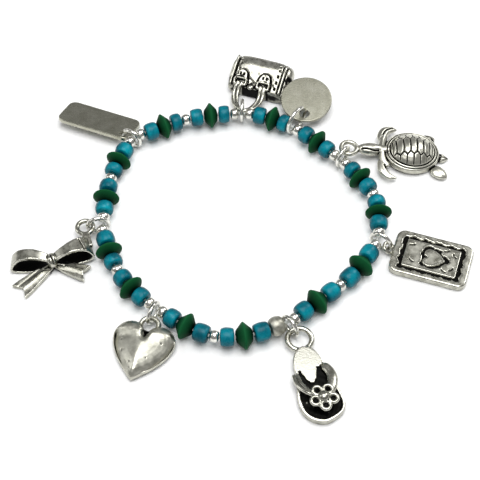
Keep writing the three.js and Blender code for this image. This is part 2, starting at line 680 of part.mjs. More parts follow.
const CHARMS = { bar_tag: barTag, round_tag: roundTag, handbag, turtle, card, flip_flop: flipFlop, heart, bow };

// Order of the string: beads and rings with their lengths along it

function stringOrder() {
  const order = [];
  let turquoiseCount = 0;
  for (const slot of SLOTS) {
    order.push({ kind: 'ring', slot, ring: RING });
    RUN.forEach((kind, place) => {
      if (slot.charm === WIDE_RING_AFTER && place === WIDE_RING_BEFORE) {
        order.push({ kind: 'ring', slot: WIDE_SLOT, ring: WIDE_RING });
      }
      if (kind === 'T') {
        const share = TURQUOISE_LENGTH_SHARES[turquoiseCount % TURQUOISE_LENGTH_SHARES.length];
        order.push({ kind, length: TURQUOISE.length * share * slot.beads });
        turquoiseCount += 1;
      } else if (kind === 'G') {
        order.push({ kind, length: GREEN.length * slot.beads });
      } else {
        const bead = slot.charm === BIG_SPACER_AFTER && place === 0 ? BIG_SPACER : SPACER;
        order.push({ kind, bead, length: bead.length });
      }
    });
  }
  return order;
}

// Places along the string. A ring's share of it is its wire and the play on both sides.
function placesAlong(order) {
  let place = 0;
  order.forEach((item, index) => {
    const before = order[(index + order.length - 1) % order.length];
    if (item.kind === 'ring') {
      item.length = item.ring.wire + 2 * RING_PLAY;
    } else if (before.kind !== 'ring') {
      place += BEAD_GAP;
    }
    item.at = place + item.length / 2;
    place += item.length;
  });
  return place;
}

const order = stringOrder();
const stringLength = placesAlong(order);

function polar([degrees, radius]) {
  const angle = THREE.MathUtils.degToRad(degrees);
  return new THREE.Vector3(radius * Math.cos(angle), radius * Math.sin(angle), 0);
}

function closedRoute(size) {
  const curve = new THREE.CatmullRomCurve3(ROUTE.map((row) => polar(row).multiplyScalar(size)), true);
  curve.arcLengthDivisions = 2000;
  return curve;
}

const route = closedRoute(stringLength / closedRoute(1).getLength());

function frameAt(place) {
  const share = (((place / stringLength) % 1) + 1) % 1;
  const middle = route.getPointAt(share).setZ(STRING_HEIGHT);
  const along = route.getTangentAt(share).setZ(0).normalize();
  const outward = UP.clone().cross(along);
  return { middle, along, outward };
}

// A stretch of the elastic between two places along the string
class Stretch extends THREE.Curve {
  constructor(from, to) {
    super();
    this.from = from;
    this.to = to;
  }

  getPoint(t, target = new THREE.Vector3()) {
    return target.copy(frameAt(this.from + t * (this.to - this.from)).middle);
  }
}

function elasticStretch(from, to) {
  const steps = Math.round((to - from) / ELASTIC_STEP);
  const section = polygon(ELASTIC_SIDES, ELASTIC_DIAMETER / 2);
  return new THREE.ExtrudeGeometry(section, { steps, bevelEnabled: false, extrudePath: new Stretch(from, to) });
}

// Materials

const turquoiseGlass = () => new THREE.MeshStandardMaterial({ color: 0x0e8296, roughness: 0.15, metalness: 0 });
const frostedGreenGlass = () => new THREE.MeshStandardMaterial({ color: 0x143a14, roughness: 0.5, metalness: 0 });
const brightSilver = () => new THREE.MeshStandardMaterial({ color: 0xd6d4cc, roughness: 0.2, metalness: 1 });
const tarnishedSilver = () => new THREE.MeshStandardMaterial({ color: 0xa9a99c, roughness: 0.35, metalness: 1 });

const bracelet = new THREE.Group();

function addMesh(parent, name, geometry, material) {
  const mesh = new THREE.Mesh(geometry, material);
  mesh.name = name;
  parent.add(mesh);
  return mesh;
}

// Stands a bead's axis along the string with one of its edges straight down
function alongString(frame) {
  const across = new THREE.Vector3().crossVectors(frame.along, UP);
  return new THREE.Matrix4().makeBasis(across, frame.along, UP).setPosition(frame.middle);
}

function addBeads() {
  const counts = { T: 0, G: 0 };
  const silver = [];
  for (const item of order) {
    if (item.kind === 'ring') continue;
    const matrix = alongString(frameAt(item.at));
    if (item.kind === 'S') {
      silver.push({ at: item.at, geometry: spacerBead(item.bead).applyMatrix4(matrix) });
      continue;
    }
    counts[item.kind] += 1;
    const number = String(counts[item.kind]).padStart(2, '0');
    const mesh = item.kind === 'G'
      ? addMesh(bracelet, `green_bead_${number}`, saucerBead(GREEN, item.length), frostedGreenGlass())
      : addMesh(bracelet, `turquoise_bead_${number}`, barrelBead(TURQUOISE, item.length), turquoiseGlass());
    mesh.applyMatrix4(matrix);
  }
  const first = silver[0].at;
  const half = silver[Math.floor(silver.length / 2)].at;
  const lap = SPACER.length / 4;
  const elastic = [
    elasticStretch(first - lap, half + lap), elasticStretch(half - lap, first + stringLength + lap),
  ];
  const strung = joined([...elastic, ...silver.map((bead) => bead.geometry)]);
  addMesh(bracelet, 'silver_spacers_on_elastic', toGeometry(strung), brightSilver());
}

// Lowers a charm about its grip until its far end touches the surface
function restingPitch(gripHeight, reach, drop) {
  return Math.asin(gripHeight / Math.hypot(reach, drop)) - Math.atan2(drop, reach);
}

function addCharm(item) {
  const { slot, ring } = item;
  const frame = frameAt(item.at);
  const group = new THREE.Group();
  group.position.copy(frame.middle).setZ(0);
  group.rotation.z = Math.atan2(frame.outward.y, frame.outward.x) + THREE.MathUtils.degToRad(slot.skew);
  bracelet.add(group);

  const ringHeight = ring.diameter / 2;
  const slack = innerRadius(ring) - ELASTIC_DIAMETER / 2 - LINK_CLEARANCE;
  const ringX = Math.sqrt(slack ** 2 - (ringHeight - STRING_HEIGHT) ** 2);
  const jumpRing = addMesh(group, `jump_ring_${slot.charm}`, flatRing(ring), brightSilver());
  jumpRing.rotation.x = Math.PI / 2;
  jumpRing.position.set(ringX, 0, ringHeight);

  const [grip, turn, hang] = [slot.grip, slot.turn, slot.hang].map(THREE.MathUtils.degToRad);
  const held = (wire) => (wire === 0 ? middleRadius(ring) : innerRadius(ring) - wire / 2 - LINK_CLEARANCE);
  const gripAt = (wire) => new THREE.Vector3(
    ringX + held(wire) * Math.cos(grip), 0, ringHeight + held(wire) * Math.sin(grip));
  const charm = CHARMS[slot.charm](gripAt(CARD_BAIL.wire).z);
  const { body, hold = 0, wire = 0, reach, below, height = 0, roll = 0 } = charm;
  const gripPoint = gripAt(wire);
  const localGrip = new THREE.Vector3(-hold * Math.cos(hang - turn), -hold * Math.sin(hang - turn), 0);
  const pitch = restingPitch(gripPoint.z - height, reach - localGrip.x, below);
  const mesh = addMesh(group, `${slot.charm}_charm`, toGeometry(body), tarnishedSilver());
  mesh.rotation.set(roll, pitch, turn, 'ZYX');
  mesh.position.copy(gripPoint).sub(localGrip.applyEuler(mesh.rotation));
}

addBeads();
order.filter((item) => item.kind === 'ring').forEach(addCharm);

// The footprint's middle goes to the origin
bracelet.updateMatrixWorld(true);
const footprint = new THREE.Box3().setFromObject(bracelet, true);
const middle = footprint.getCenter(new THREE.Vector3());
bracelet.position.set(-middle.x, -middle.y, -footprint.min.z);

export default bracelet;
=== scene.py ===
# Stretch bracelet of glass beads and silver charms, laid flat on a pale surface.
# Each charm is modelled in millimetres round its own loop, with +X leading away from the beads
# and +Z out of its face, and is then laid where the frame has it.

import math

import bpy
import numpy as np
from mathutils import Matrix, Vector


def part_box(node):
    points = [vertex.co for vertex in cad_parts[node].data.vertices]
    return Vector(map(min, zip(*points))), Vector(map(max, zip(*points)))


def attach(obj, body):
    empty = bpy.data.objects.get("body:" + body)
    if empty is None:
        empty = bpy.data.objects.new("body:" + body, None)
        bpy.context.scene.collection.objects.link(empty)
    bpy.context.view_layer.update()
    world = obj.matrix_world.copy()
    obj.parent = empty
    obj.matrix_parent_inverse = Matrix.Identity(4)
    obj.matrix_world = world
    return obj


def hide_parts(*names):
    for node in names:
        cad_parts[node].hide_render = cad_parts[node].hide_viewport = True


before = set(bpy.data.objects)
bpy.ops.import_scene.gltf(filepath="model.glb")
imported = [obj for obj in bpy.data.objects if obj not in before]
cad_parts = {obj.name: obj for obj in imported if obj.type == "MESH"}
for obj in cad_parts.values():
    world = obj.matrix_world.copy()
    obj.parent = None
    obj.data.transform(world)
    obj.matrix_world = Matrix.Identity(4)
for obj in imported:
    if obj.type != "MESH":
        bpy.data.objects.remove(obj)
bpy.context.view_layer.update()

MM = 0.001
TURN = 2 * math.pi
# Edges that turn more than this are bevelled
SHARP = math.radians(50)

# Sizes in millimetres
WIRE = 0.9
RING_DIAMETER = 5.5
WIDE_RING_DIAMETER = 7.2
ELASTIC = 0.7
CLEARANCE = 0.18
BEAD_HOLE = 1.2
BEAD_GAP = 0.12
SPACER = 1.95
SPACER_WIDTH = 2.68
SPACER_REACH = 1.85
BIG_SPACER = 3.2
BIG_SPACER_WIDTH = 4.2
BIG_SPACER_REACH = 2.75

# Beads repeat in runs, and the one large spacer leads the run with this number
RUNS = 7
BIG_SPACER_RUN = 4
STRING_POINTS = 2400
# The glass is this much shorter than its bead, which keeps beads apart where the loop is tight
GLASS_TRIM = 0.13


# Modelling

def only(*pieces):
    bpy.ops.object.select_all(action="DESELECT")
    for piece in pieces:
        piece.select_set(True)
    bpy.context.view_layer.objects.active = pieces[0]


def named(name):
    piece = bpy.context.active_object
    piece.name = name
    return piece


def place_vertices(piece, spots):
    piece.data.vertices.foreach_set("co", np.asarray(spots, float).ravel())
    piece.data.update()


def spots_of(piece, kind="co"):
    """The places of a piece's vertices, or their normals."""
    values = np.empty(len(piece.data.vertices) * 3)
    piece.data.vertices.foreach_get(kind, values)
    return values.reshape(-1, 3)


def store(piece, name, values):
    layer = piece.data.attributes.new(name, "FLOAT", "POINT")
    layer.data.foreach_set("value", values.astype(np.float32))


def edit(piece):
    only(piece)
    bpy.ops.object.mode_set(mode="EDIT")
    bpy.ops.mesh.select_all(action="SELECT")


def close_up(fill=True):
    bpy.ops.mesh.select_all(action="SELECT")
    bpy.ops.mesh.remove_doubles(threshold=1e-4)
    if fill:
        bpy.ops.mesh.fill_holes(sides=0)
    bpy.ops.mesh.select_all(action="SELECT")
    bpy.ops.mesh.normals_make_consistent(inside=False)
    bpy.ops.object.mode_set(mode="OBJECT")


def turned(name, profile, steps):
    """A closed profile of (along, radius) rows, spun about the X axis."""
    bpy.ops.mesh.primitive_circle_add(vertices=len(profile), radius=1)
    piece = named(name)
    place_vertices(piece, [(x, 0, r) for x, r in profile])
    edit(piece)
    bpy.ops.mesh.spin(steps=steps, angle=TURN, center=(0, 0, 0), axis=(1, 0, 0))
    close_up(fill=False)
    return piece


def lofted(name, sections, closed=False):
    """A skin over cross-sections with the same number of points, its two ends filled."""
    rows = list(sections) + ([sections[0]] if closed else [])
    bpy.ops.mesh.primitive_grid_add(
        x_subdivisions=len(rows[0]), y_subdivisions=len(rows) - 1, size=2)
    piece = named(name)
    place_vertices(piece, np.concatenate([np.vstack([row, row[:1]]) for row in rows]))
    edit(piece)
    close_up(fill=not closed)
    return piece


def plate(name, outline, low, high):
    """A flat plate of an outline between two heights."""
    bpy.ops.mesh.primitive_circle_add(vertices=len(outline), radius=1, fill_type="NGON")
    piece = named(name)
    place_vertices(piece, [(x, y, low) for x, y in outline])
    edit(piece)
    bpy.ops.mesh.extrude_region_move(TRANSFORM_OT_translate={"value": (0, 0, high - low)})
    close_up(fill=False)
    return piece


def ball(name, middle, size, segments=24, rings=14):
    bpy.ops.mesh.primitive_uv_sphere_add(segments=segments, ring_count=rings, radius=0.5)
    piece = named(name)
    place_vertices(piece, spots_of(piece) * size + middle)
    return piece


def ring(name, diameter, wire, middle=(0, 0, 0), upright=False, around=40, sides=14):
    turn = (math.pi / 2, 0, 0) if upright else (0, 0, 0)
    bpy.ops.mesh.primitive_torus_add(
        major_radius=(diameter - wire) / 2, minor_radius=wire / 2,
        major_segments=around, minor_segments=sides, rotation=turn)
    piece = named(name)
    only(piece)
    bpy.ops.object.transform_apply(location=True, rotation=True, scale=True)
    place_vertices(piece, spots_of(piece) + np.array(middle))
    return piece


def smooth_path(points, count, closed=False):
    """A smooth curve through points, as count points."""
    points = np.asarray(points, float)
    spans = len(points) if closed else len(points) - 1
    before, after = (points[-1], points[:2]) if closed else (
        2 * points[0] - points[1], 2 * points[-1] - points[-2])
    control = np.vstack([before, points, after])
    found = []
    for place in np.linspace(0, spans, count, endpoint=not closed):
        span = min(int(place), spans - 1)
        t = place - span
        a, b, c, d = control[span:span + 4]
        found.append(0.5 * (2 * b + (c - a) * t + (2 * a - 5 * b + 4 * c - d) * t ** 2
                            + (3 * b - a - 3 * c + d) * t ** 3))
    return np.array(found)


def tube(name, path, size, sides=10, closed=False, flat=1.0, up=(0, 0, 1)):
    """A wire along a path. size is its width, one value or one for each point; flat its height."""
    path = np.asarray(path, float)
    size = np.broadcast_to(np.asarray(size, float), (len(path),))
    ahead, behind = (np.roll(path, -1, 0), np.roll(path, 1, 0)) if closed else (
        np.vstack([path[1:], path[-1:]]), np.vstack([path[:1], path[:-1]]))
    angles = np.arange(sides) * TURN / sides
    sections = []
    for spot, forward, back, width in zip(path, ahead, behind, size):
        along = (forward - back) / np.linalg.norm(forward - back)
        across = np.cross(up, along)
        across /= max(np.linalg.norm(across), 1e-6)
        above = np.cross(along, across)
        sections.append(np.array([
            spot + width / 2 * (math.cos(a) * across + flat * math.sin(a) * above) for a in angles]))
    return lofted(name, sections, closed)


def add_modifier(piece, kind, **settings):
    only(piece)
    modifier = piece.modifiers.new(kind.title(), kind)
    for key, value in settings.items():
        setattr(modifier, key, value)
    bpy.ops.object.modifier_apply(modifier=modifier.name)


def cut(piece, cutter):
    add_modifier(piece, "BOOLEAN", operation="DIFFERENCE", solver="EXACT", object=cutter)
    bpy.data.objects.remove(cutter)


def joined(name, pieces):
    only(*pieces)
    bpy.ops.object.join()
    return named(name)


def cast(name, pieces, grain, soft=2):
    """Pieces run together in one casting, its edges softened."""
    piece = joined(name, pieces)
    add_modifier(piece, "REMESH", mode="VOXEL", voxel_size=grain, adaptivity=0.0)
    if soft:
        add_modifier(piece, "SMOOTH", factor=0.5, iterations=soft)
    return piece


def carve(piece, relief):
    """Moves the upper faces up or down by a relief of the place in millimetres."""
    spots = spots_of(piece)
    upward = np.clip(spots_of(piece, "normal")[:, 2] * 2.5 - 0.4, 0, 1)
    spots[:, 2] += relief(*spots.T) * upward
    place_vertices(piece, spots)


def hollows(piece, steps, size):
    """How far each vertex lies below the surface round it, as a share of size."""
    spots = spots_of(piece)
    count = len(spots)
    pairs = np.empty(len(piece.data.edges) * 2, np.int32)
    piece.data.edges.foreach_get("vertices", pairs)
    one, other = pairs.reshape(-1, 2).T
    near = np.maximum(np.bincount(one, minlength=count) + np.bincount(other, minlength=count), 1)
    soft = spots.copy()
    for _ in range(steps):
        total = np.zeros_like(soft)
        for axis in range(3):
            total[:, axis] = (np.bincount(one, soft[other, axis], count)
                              + np.bincount(other, soft[one, axis], count))
        soft = 0.5 * soft + 0.5 * total / near[:, None]
    return ((soft - spots) * spots_of(piece, "normal")).sum(1) / size


def patinate_and_paint_light(piece, extra, strength=1.0):
    """Stores where the dark patina stays: low places and what the extra rule names, with everything darker
    below 0.55 mm towards the floor; some rules also add painted shadow and painted highlights.
    """
    low = strength * (0.55 * hollows(piece, 14, 0.08) + 0.55 * hollows(piece, 80, 0.24))
    spots = spots_of(piece)
    # Darker towards the floor in the lowest half millimetre, then the extra rule, which may add painted
    # shadow and painted highlights
    low += 0.5 * step(0.55 - spots[:, 2], 0, 0.5) + extra(*spots.T)
    store(piece, "patina_and_painted_light", np.clip(low, -1.5, 2.5))


def outline_distance(outline, x, y):
    """Distance from a closed outline, below 0 inside it."""
    gap = np.full(len(x), 1e9)
    inside = np.zeros(len(x), bool)
    for (x0, y0), (x1, y1) in zip(outline, np.roll(outline, -1, 0)):
        length = (x1 - x0) ** 2 + (y1 - y0) ** 2 + 1e-12
        share = np.clip(((x - x0) * (x1 - x0) + (y - y0) * (y1 - y0)) / length, 0, 1)
        gap = np.minimum(gap, np.hypot(x - x0 - share * (x1 - x0), y - y0 - share * (y1 - y0)))
        if y0 != y1:
            inside ^= ((y0 > y) != (y1 > y)) & (x < (x1 - x0) * (y - y0) / (y1 - y0) + x0)
    return np.where(inside, -gap, gap)


def line(offset, width):
    """A groove or ridge across an offset from its middle, as 0 to 1."""
    return np.exp(-(offset / width) ** 2)


def step(value, low, high):
    """A smooth step from 0 at low to 1 at high."""
    t = np.clip((value - low) / (high - low), 0, 1)
    return t * t * (3 - 2 * t)


def shade(piece, degrees=None):
    only(piece)
    if degrees is None:
        bpy.ops.object.shade_smooth()
    else:
        bpy.ops.object.shade_smooth_by_angle(angle=math.radians(degrees))


def copied(piece, name):
    twin = piece.copy()
    twin.data = piece.data.copy()
    twin.name = name
    bpy.context.collection.objects.link(twin)
    return twin


def lay(piece, place, finish, slot, *nodes):
    """Puts a piece modelled in millimetres in its place in the frame, and dresses it."""
    piece.data.transform(Matrix.Scale(MM, 4) @ place)
    piece.data.materials.clear()
    piece.data.materials.append(finish)
    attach(piece, "root")
    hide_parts(*nodes)


# Materials

def linear(colour):
    """An sRGB hex colour as linear red, green, blue and alpha."""
    shares = [int(colour[i:i + 2], 16) / 255 for i in (1, 3, 5)]
    return [c / 12.92 if c <= 0.04045 else ((c + 0.055) / 1.055) ** 2.4 for c in shares] + [1]


class Finish:
    """A material whose nodes are added one by one, with their settings and links."""

    def __init__(self, name):
        self.material = bpy.data.materials.new(name)
        self.material.use_nodes = True
        self.tree = self.material.node_tree
        self.shader = self.tree.nodes["Principled BSDF"]
        self.place = self.add("TexCoord").outputs["Object"]

    def add(self, kind, inputs=None, **settings):
        node = self.tree.nodes.new("ShaderNode" + kind)
        for key, value in settings.items():
            setattr(node, key, value)
        self.feed(node, inputs or {})
        return node

    def feed(self, node, inputs):
        for key, value in inputs.items():
            if isinstance(value, bpy.types.NodeSocket):
                self.tree.links.new(value, node.inputs[key])
            elif isinstance(value, str):
                node.inputs[key].default_value = linear(value)
            else:
                node.inputs[key].default_value = value

    def clouded(self, size, *rows, detail=3.0, roughness=0.5):
        """A colour that drifts between stops, over clouds of a size in millimetres."""
        cloud = self.add("TexNoise", {
            "Vector": self.place, "Scale": scale_of(size), "Detail": detail, "Roughness": roughness})
        tone = self.add("ValToRGB", {"Fac": cloud.outputs["Fac"]})
        stops(tone, *rows)
        return tone.outputs["Color"]

    def grained(self, size, smooth, rough, bump, depth, detail=2.0, roughness=0.5, place=None):
        """Grain of a size that varies the roughness and lifts the skin by a depth in millimetres."""
        grain = self.add("TexNoise", {
            "Vector": self.place if place is None else place, "Scale": scale_of(size),
            "Detail": detail, "Roughness": roughness}).outputs["Fac"]
        spread = self.add("MapRange", {
            "Value": grain, "From Min": 0.3, "From Max": 0.7, "To Min": smooth, "To Max": rough})
        skin = self.add("Bump", {"Height": grain, "Strength": bump, "Distance": depth * MM})
        self.feed(self.shader, {"Roughness": spread.outputs["Result"], "Normal": skin.outputs["Normal"]})


def stops(node, *rows):
    """Sets a colour ramp's stops: place and hex colour."""
    ramp = node.color_ramp
    while len(ramp.elements) < len(rows):
        ramp.elements.new(1)
    for element, (place, colour) in zip(ramp.elements, rows):
        element.position = place
        element.color = linear(colour)


def scale_of(size):
    """Noise scale whose grains are about a size in millimetres, on Object coordinates in metres."""
    return 1 / (size * MM)


def turquoise_glass():
    # Pressed opaque teal glass with a soft gloss: paler milky bands run through it, and a
    # darker tone is painted on as shade towards the edges, where the surface turns away from view
    finish = Finish("turquoise_pressed_glass")
    tone = finish.clouded(4, (0.3, "#004C5A"), (0.5, "#007484"), (0.7, "#0694A4"), roughness=0.55)
    edge = finish.add("LayerWeight", {"Blend": 0.35})
    # Painted shade: the edges are mixed towards a dark teal
    deep = finish.add("Mix", {0: edge.outputs["Facing"], 6: tone, 7: "#011F28"}, data_type="RGBA")
    finish.grained(0.6, 0.22, 0.36, 0.12, 0.06)
    finish.feed(finish.shader, {"Base Color": deep.outputs[2], "IOR": 1.5, "Specular IOR Level": 0.16})
    return finish.material


def frosted_green_glass():
    # Bottle-green glass, tumbled to a fine matt skin: deep in the middle, and a paler green
    # painted on the thin rim, standing in for light that shines through it
    finish = Finish("dark_green_frosted_glass")
    tone = finish.clouded(3, (0.3, "#000A04"), (0.52, "#01170B"), (0.72, "#032C16"), detail=4.0)
    thin = finish.add("Attribute", attribute_name="thin_rim_glow").outputs["Fac"]
    # Painted light: the rim is mixed towards a paler green
    clear = finish.add("Mix", {0: thin, 6: tone, 7: "#165C34"}, data_type="RGBA")
    finish.grained(0.25, 0.42, 0.62, 0.25, 0.06, detail=3.0)
    finish.feed(finish.shader, {"Base Color": clear.outputs[2], "IOR": 1.45, "Specular IOR Level": 0.05})
    return finish.material


def elastic_cord():
    # Clear stretch cord, slightly clouded by handling
    finish = Finish("clear_elastic_cord")
    tone = finish.clouded(0.8, (0.3, "#B9BDB8"), (0.7, "#DDE0DC"), detail=2.0)
    finish.feed(finish.shader, {"Base Color": tone, "Roughness": 0.35})
    return finish.material


def polished_silver():
    # Sterling wire and beads, tumbled bright, with hairline handling scratches
    finish = Finish("polished_sterling_silver")
    tone = finish.clouded(1.6, (0.3, "#BFBEB6"), (0.5, "#DAD9D1"), (0.7, "#ECEBE4"), detail=4.0)
    finish.grained(0.5, 0.12, 0.24, 0.06, 0.05, detail=5.0, roughness=0.65)
    finish.feed(finish.shader, {"Base Color": tone, "Metallic": 1.0})
    return finish.material


def cast_silver(name, bright, oxide, satin, smoothest=0.2):
    # Cast sterling, dipped in oxide and rubbed back: black stays in the low places, the
    # ridges are bright, and the skin between is satin with fine casting pits, evened out where
    # it is rubbed hardest. The same dark and bright also carry the painted shadow and painted
    # highlights that some charms' rules add
    finish = Finish(name)
    low = finish.add("Attribute", attribute_name="patina_and_painted_light").outputs["Fac"]
    mottle = finish.add("TexNoise", {
        "Vector": finish.place, "Scale": scale_of(1.3), "Detail": 6.0, "Roughness": 0.62}).outputs["Fac"]
    spread = finish.add("MapRange", {
        "Value": mottle, "From Min": 0.25, "From Max": 0.75, "To Min": -0.22, "To Max": 0.22})
    total = finish.add("Math", {0: low, 1: spread.outputs["Result"]}, operation="ADD").outputs["Value"]
    share = finish.add("MapRange", {"Value": total, "From Min": 0.08, "From Max": 0.5},
                       interpolation_type="SMOOTHSTEP")
    skin = finish.add("ValToRGB", {"Fac": mottle})
    stops(skin, (0.3, satin), (0.7, bright))
    # Bright where rubbed, and where a charm's rule paints a highlight
    rubbed_and_highlight = finish.add("MapRange", {
        "Value": low, "From Min": -0.9, "From Max": -0.4, "To Min": 1.0, "To Max": 0.0})
    face = finish.add("Mix", {0: rubbed_and_highlight.outputs["Result"], 6: skin.outputs["Color"], 7: bright},
                      data_type="RGBA")
    colour = finish.add("Mix", {0: share.outputs["Result"], 6: face.outputs[2], 7: oxide},
                        data_type="RGBA")
    pits = finish.add("TexNoise", {
        "Vector": finish.place, "Scale": scale_of(0.35), "Detail": 4.0, "Roughness": 0.6})
    rough = finish.add("MapRange", {"Value": total, "From Min": -0.4, "From Max": 0.5,
                                    "To Min": smoothest, "To Max": smoothest + 0.24})
    bump = finish.add("Bump", {"Height": pits.outputs["Fac"], "Strength": 0.12, "Distance": 0.08 * MM})
    finish.feed(finish.shader, {
        "Base Color": colour.outputs[2], "Roughness": rough.outputs["Result"],
        "Normal": bump.outputs["Normal"], "Metallic": 1.0})
    return finish.material


def sheet_silver(name, *tones):
    # Rolled sterling sheet with a satin face: soft clouds of tarnish and crossing hairlines
    finish = Finish(name)
    tone = finish.clouded(2.4, *zip((0.3, 0.5, 0.7), tones), detail=5.0, roughness=0.6)
    rolled = finish.add("Mapping", {
        "Vector": finish.place, "Rotation": (0.0, 0.0, 0.42), "Scale": (1.0, 9.0, 1.0)})
    finish.grained(1.2, 0.25, 0.31, 0.03, 0.05, detail=6.0, roughness=0.7, place=rolled.outputs["Vector"])
    finish.feed(finish.shader, {"Base Color": tone, "Metallic": 1.0})
    return finish.material


TURQUOISE_GLASS = turquoise_glass()
GREEN_GLASS = frosted_green_glass()
CLEAR_ELASTIC = elastic_cord()
BRIGHT_SILVER = polished_silver()
CAST_SILVER = cast_silver("oxidised_cast_silver", "#CCCBC0", "#121211", "#88877B")
# A lighter, rougher copy of the cast silver: its paler tones are painted light for the turtle and the heart
LIT_SATIN_SILVER = cast_silver("lit_satin_cast_silver", "#CFCEC2", "#101010", "#A3A296", 0.3)
MATT_SILVER = cast_silver("matt_silver", "#C9C8BC", "#141413", "#77766B", 0.36)
SHEET_SILVER = sheet_silver("satin_silver_sheet", "#A09F8F", "#ADAC9D", "#B8B7A9")
# A darker copy of the sheet silver: painted shade for the round tag
SHADED_SHEET_SILVER = sheet_silver("shaded_silver_sheet", "#7F7E71", "#8B8A7D", "#959488")


# String of beads

def middle_of(node):
    low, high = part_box(node)
    return np.array((low + high) / 2) / MM


def vertices_of(node):
    return np.array([vertex.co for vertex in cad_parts[node].data.vertices]) / MM


turquoise_nodes = [f"turquoise_bead_{number:02d}" for number in range(1, 29)]
green_nodes = [f"green_bead_{number:02d}" for number in range(1, 15)]

# Runs clockwise from the bar tag: in each, the beads stand T G T, spacer, T G T
strung = []
for run in range(RUNS):
    greens = green_nodes[2 * run:2 * run + 2]
    blues = turquoise_nodes[4 * run:4 * run + 4]
    strung += [blues[0], greens[0], blues[1], blues[2], greens[1], blues[3]]


def laid_string(points):
    """The string's middle line through points, the places along it, and its whole length."""
    way = smooth_path(points, STRING_POINTS, closed=True)
    places = np.concatenate([[0], np.cumsum(np.linalg.norm(np.roll(way, -1, 0) - way, axis=1))])
    return way, places, places[-1]


string_line, string_places, string_length = laid_string([middle_of(node) for node in strung])


def string_point(place):
    place = place % string_length
    looped = np.vstack([string_line, string_line[:1]])
    return np.array([np.interp(place, string_places, looped[:, axis]) for axis in range(3)])


def string_frame(place):
    """Matrix at a place along the string: X along it and Z up."""
    along = string_point(place + 0.3) - string_point(place - 0.3)
    along[2] = 0
    along /= np.linalg.norm(along)
    up = np.array([0, 0, 1])
    matrix = np.eye(4)
    matrix[:3] = np.column_stack([along, np.cross(up, along), up, string_point(place)])
    return Matrix(matrix.tolist())


def place_near(spot):
    return string_places[np.argmin(np.linalg.norm(string_line - spot, axis=1))]


def length_on_string(node, matrix):
    along = np.array(matrix.col[0])[:3]
    reach = (vertices_of(node) - middle_of(node)) @ along
    return reach.max() - reach.min()


def ends_of(node):
    """Where a bead starts and ends along the string."""
    place = place_near(middle_of(node))
    half = length_on_string(node, string_frame(place)) / 2
    return place - half, place + half


def spacer_places():
    """Place along the string and length of each silver spacer."""
    rows = []
    for run in range(RUNS):
        first, _, _, after, _, last = strung[6 * run:6 * run + 6]
        lead = BIG_SPACER if run == BIG_SPACER_RUN else SPACER
        rows += [(ends_of(first)[0] - BEAD_GAP - lead / 2, lead),
                 (ends_of(after)[0] - BEAD_GAP - SPACER / 2, SPACER),
                 (ends_of(last)[1] + BEAD_GAP + SPACER / 2, SPACER)]
    return rows


def spacer_middle(place, length):
    """Middle of a spacer near a place, from the widest points of the string and its spacers."""
    near = vertices_of("silver_spacers_on_elastic") - string_point(place)
    near = near[np.linalg.norm(near, axis=1) < (BIG_SPACER_REACH if length > SPACER else SPACER_REACH)]
    axes = np.array(string_frame(place))[:3, 1:3]
    away = np.linalg.norm(near @ axes, axis=1)
    return string_point(place) + near[away > 0.75 * away.max()].mean(0)


spacer_rows = [(spacer_middle(place, length), length) for place, length in spacer_places()]
# The line is laid again through beads and spacers, in the order in which they are strung
way_points = []
for run in range(RUNS):
    lead, between, end = [middle for middle, _ in spacer_rows[3 * run:3 * run + 3]]
    beads = [middle_of(node) for node in strung[6 * run:6 * run + 6]]
    way_points += [lead, *beads[:3], between, *beads[3:], end]
string_line, string_places, string_length = laid_string(way_points)


def barrel_profile(diameter, face, hole, fullness):
    """Closed profile of a barrel bead 1 mm long, its ends eased at the hole and falling back from it."""
    end = [(0.476, face / 2 - 0.2), (0.5, hole / 2 + 0.2), (0.49, hole / 2 + 0.08), (0.45, hole / 2)]
    rows = [(-x, r) for x, r in end[::-1]]
    for angle in np.linspace(-66, 66, 13):
        share = math.sin(math.radians(angle))
        bulge = (1 - abs(share) ** fullness) ** (1 / fullness)
        rows.append((0.5 * share, face / 2 + (diameter - face) / 2 * bulge))
    return rows + end


def saucer_profile(diameter, face, rim, hole):
    """Closed profile of a saucer bead 1 mm long: two cones from its end faces to a narrow rim."""
    rows = [(-0.46, hole / 2), (-0.5, hole / 2 + 0.12), (-0.465, face / 2 - 0.15), (-0.44, face / 2)]
    rows += [(-rim / 2 - 0.03, diameter / 2 - 0.12), (-rim / 2, diameter / 2 - 0.03),
             (-rim / 4, diameter / 2)]
    return rows + [(-x, r) for x, r in rows[::-1]]


def string_bead(base, node, finish, slot):
    matrix = string_frame(place_near(middle_of(node)))
    matrix.translation = Vector(middle_of(node))
    length = length_on_string(node, matrix) - GLASS_TRIM
    bead = copied(base, node + "_glass")
    bead.data.transform(Matrix.Diagonal((length, 1, 1, 1)))
    lay(bead, matrix, finish, slot, node)


blue_base = turned("blue_base", barrel_profile(4.1, 2.75, BEAD_HOLE, 2.35), 32)
green_base = turned("green_base", saucer_profile(5.9, 2.8, 0.07, BEAD_HOLE), 36)
shade(blue_base, 42)
shade(green_base, 26)
radii = np.linalg.norm(spots_of(green_base)[:, 1:], axis=1)
# Painted light: a paler green on the thin rim, standing in for light shining through the glass
store(green_base, "thin_rim_glow", 0.75 * step(radii, 2.4, 3.0))
for node in turquoise_nodes:
    string_bead(blue_base, node, TURQUOISE_GLASS, "turquoise_glass")
for node in green_nodes:
    string_bead(green_base, node, GREEN_GLASS, "green_frosted_glass")
bpy.data.objects.remove(blue_base)
bpy.data.objects.remove(green_base)


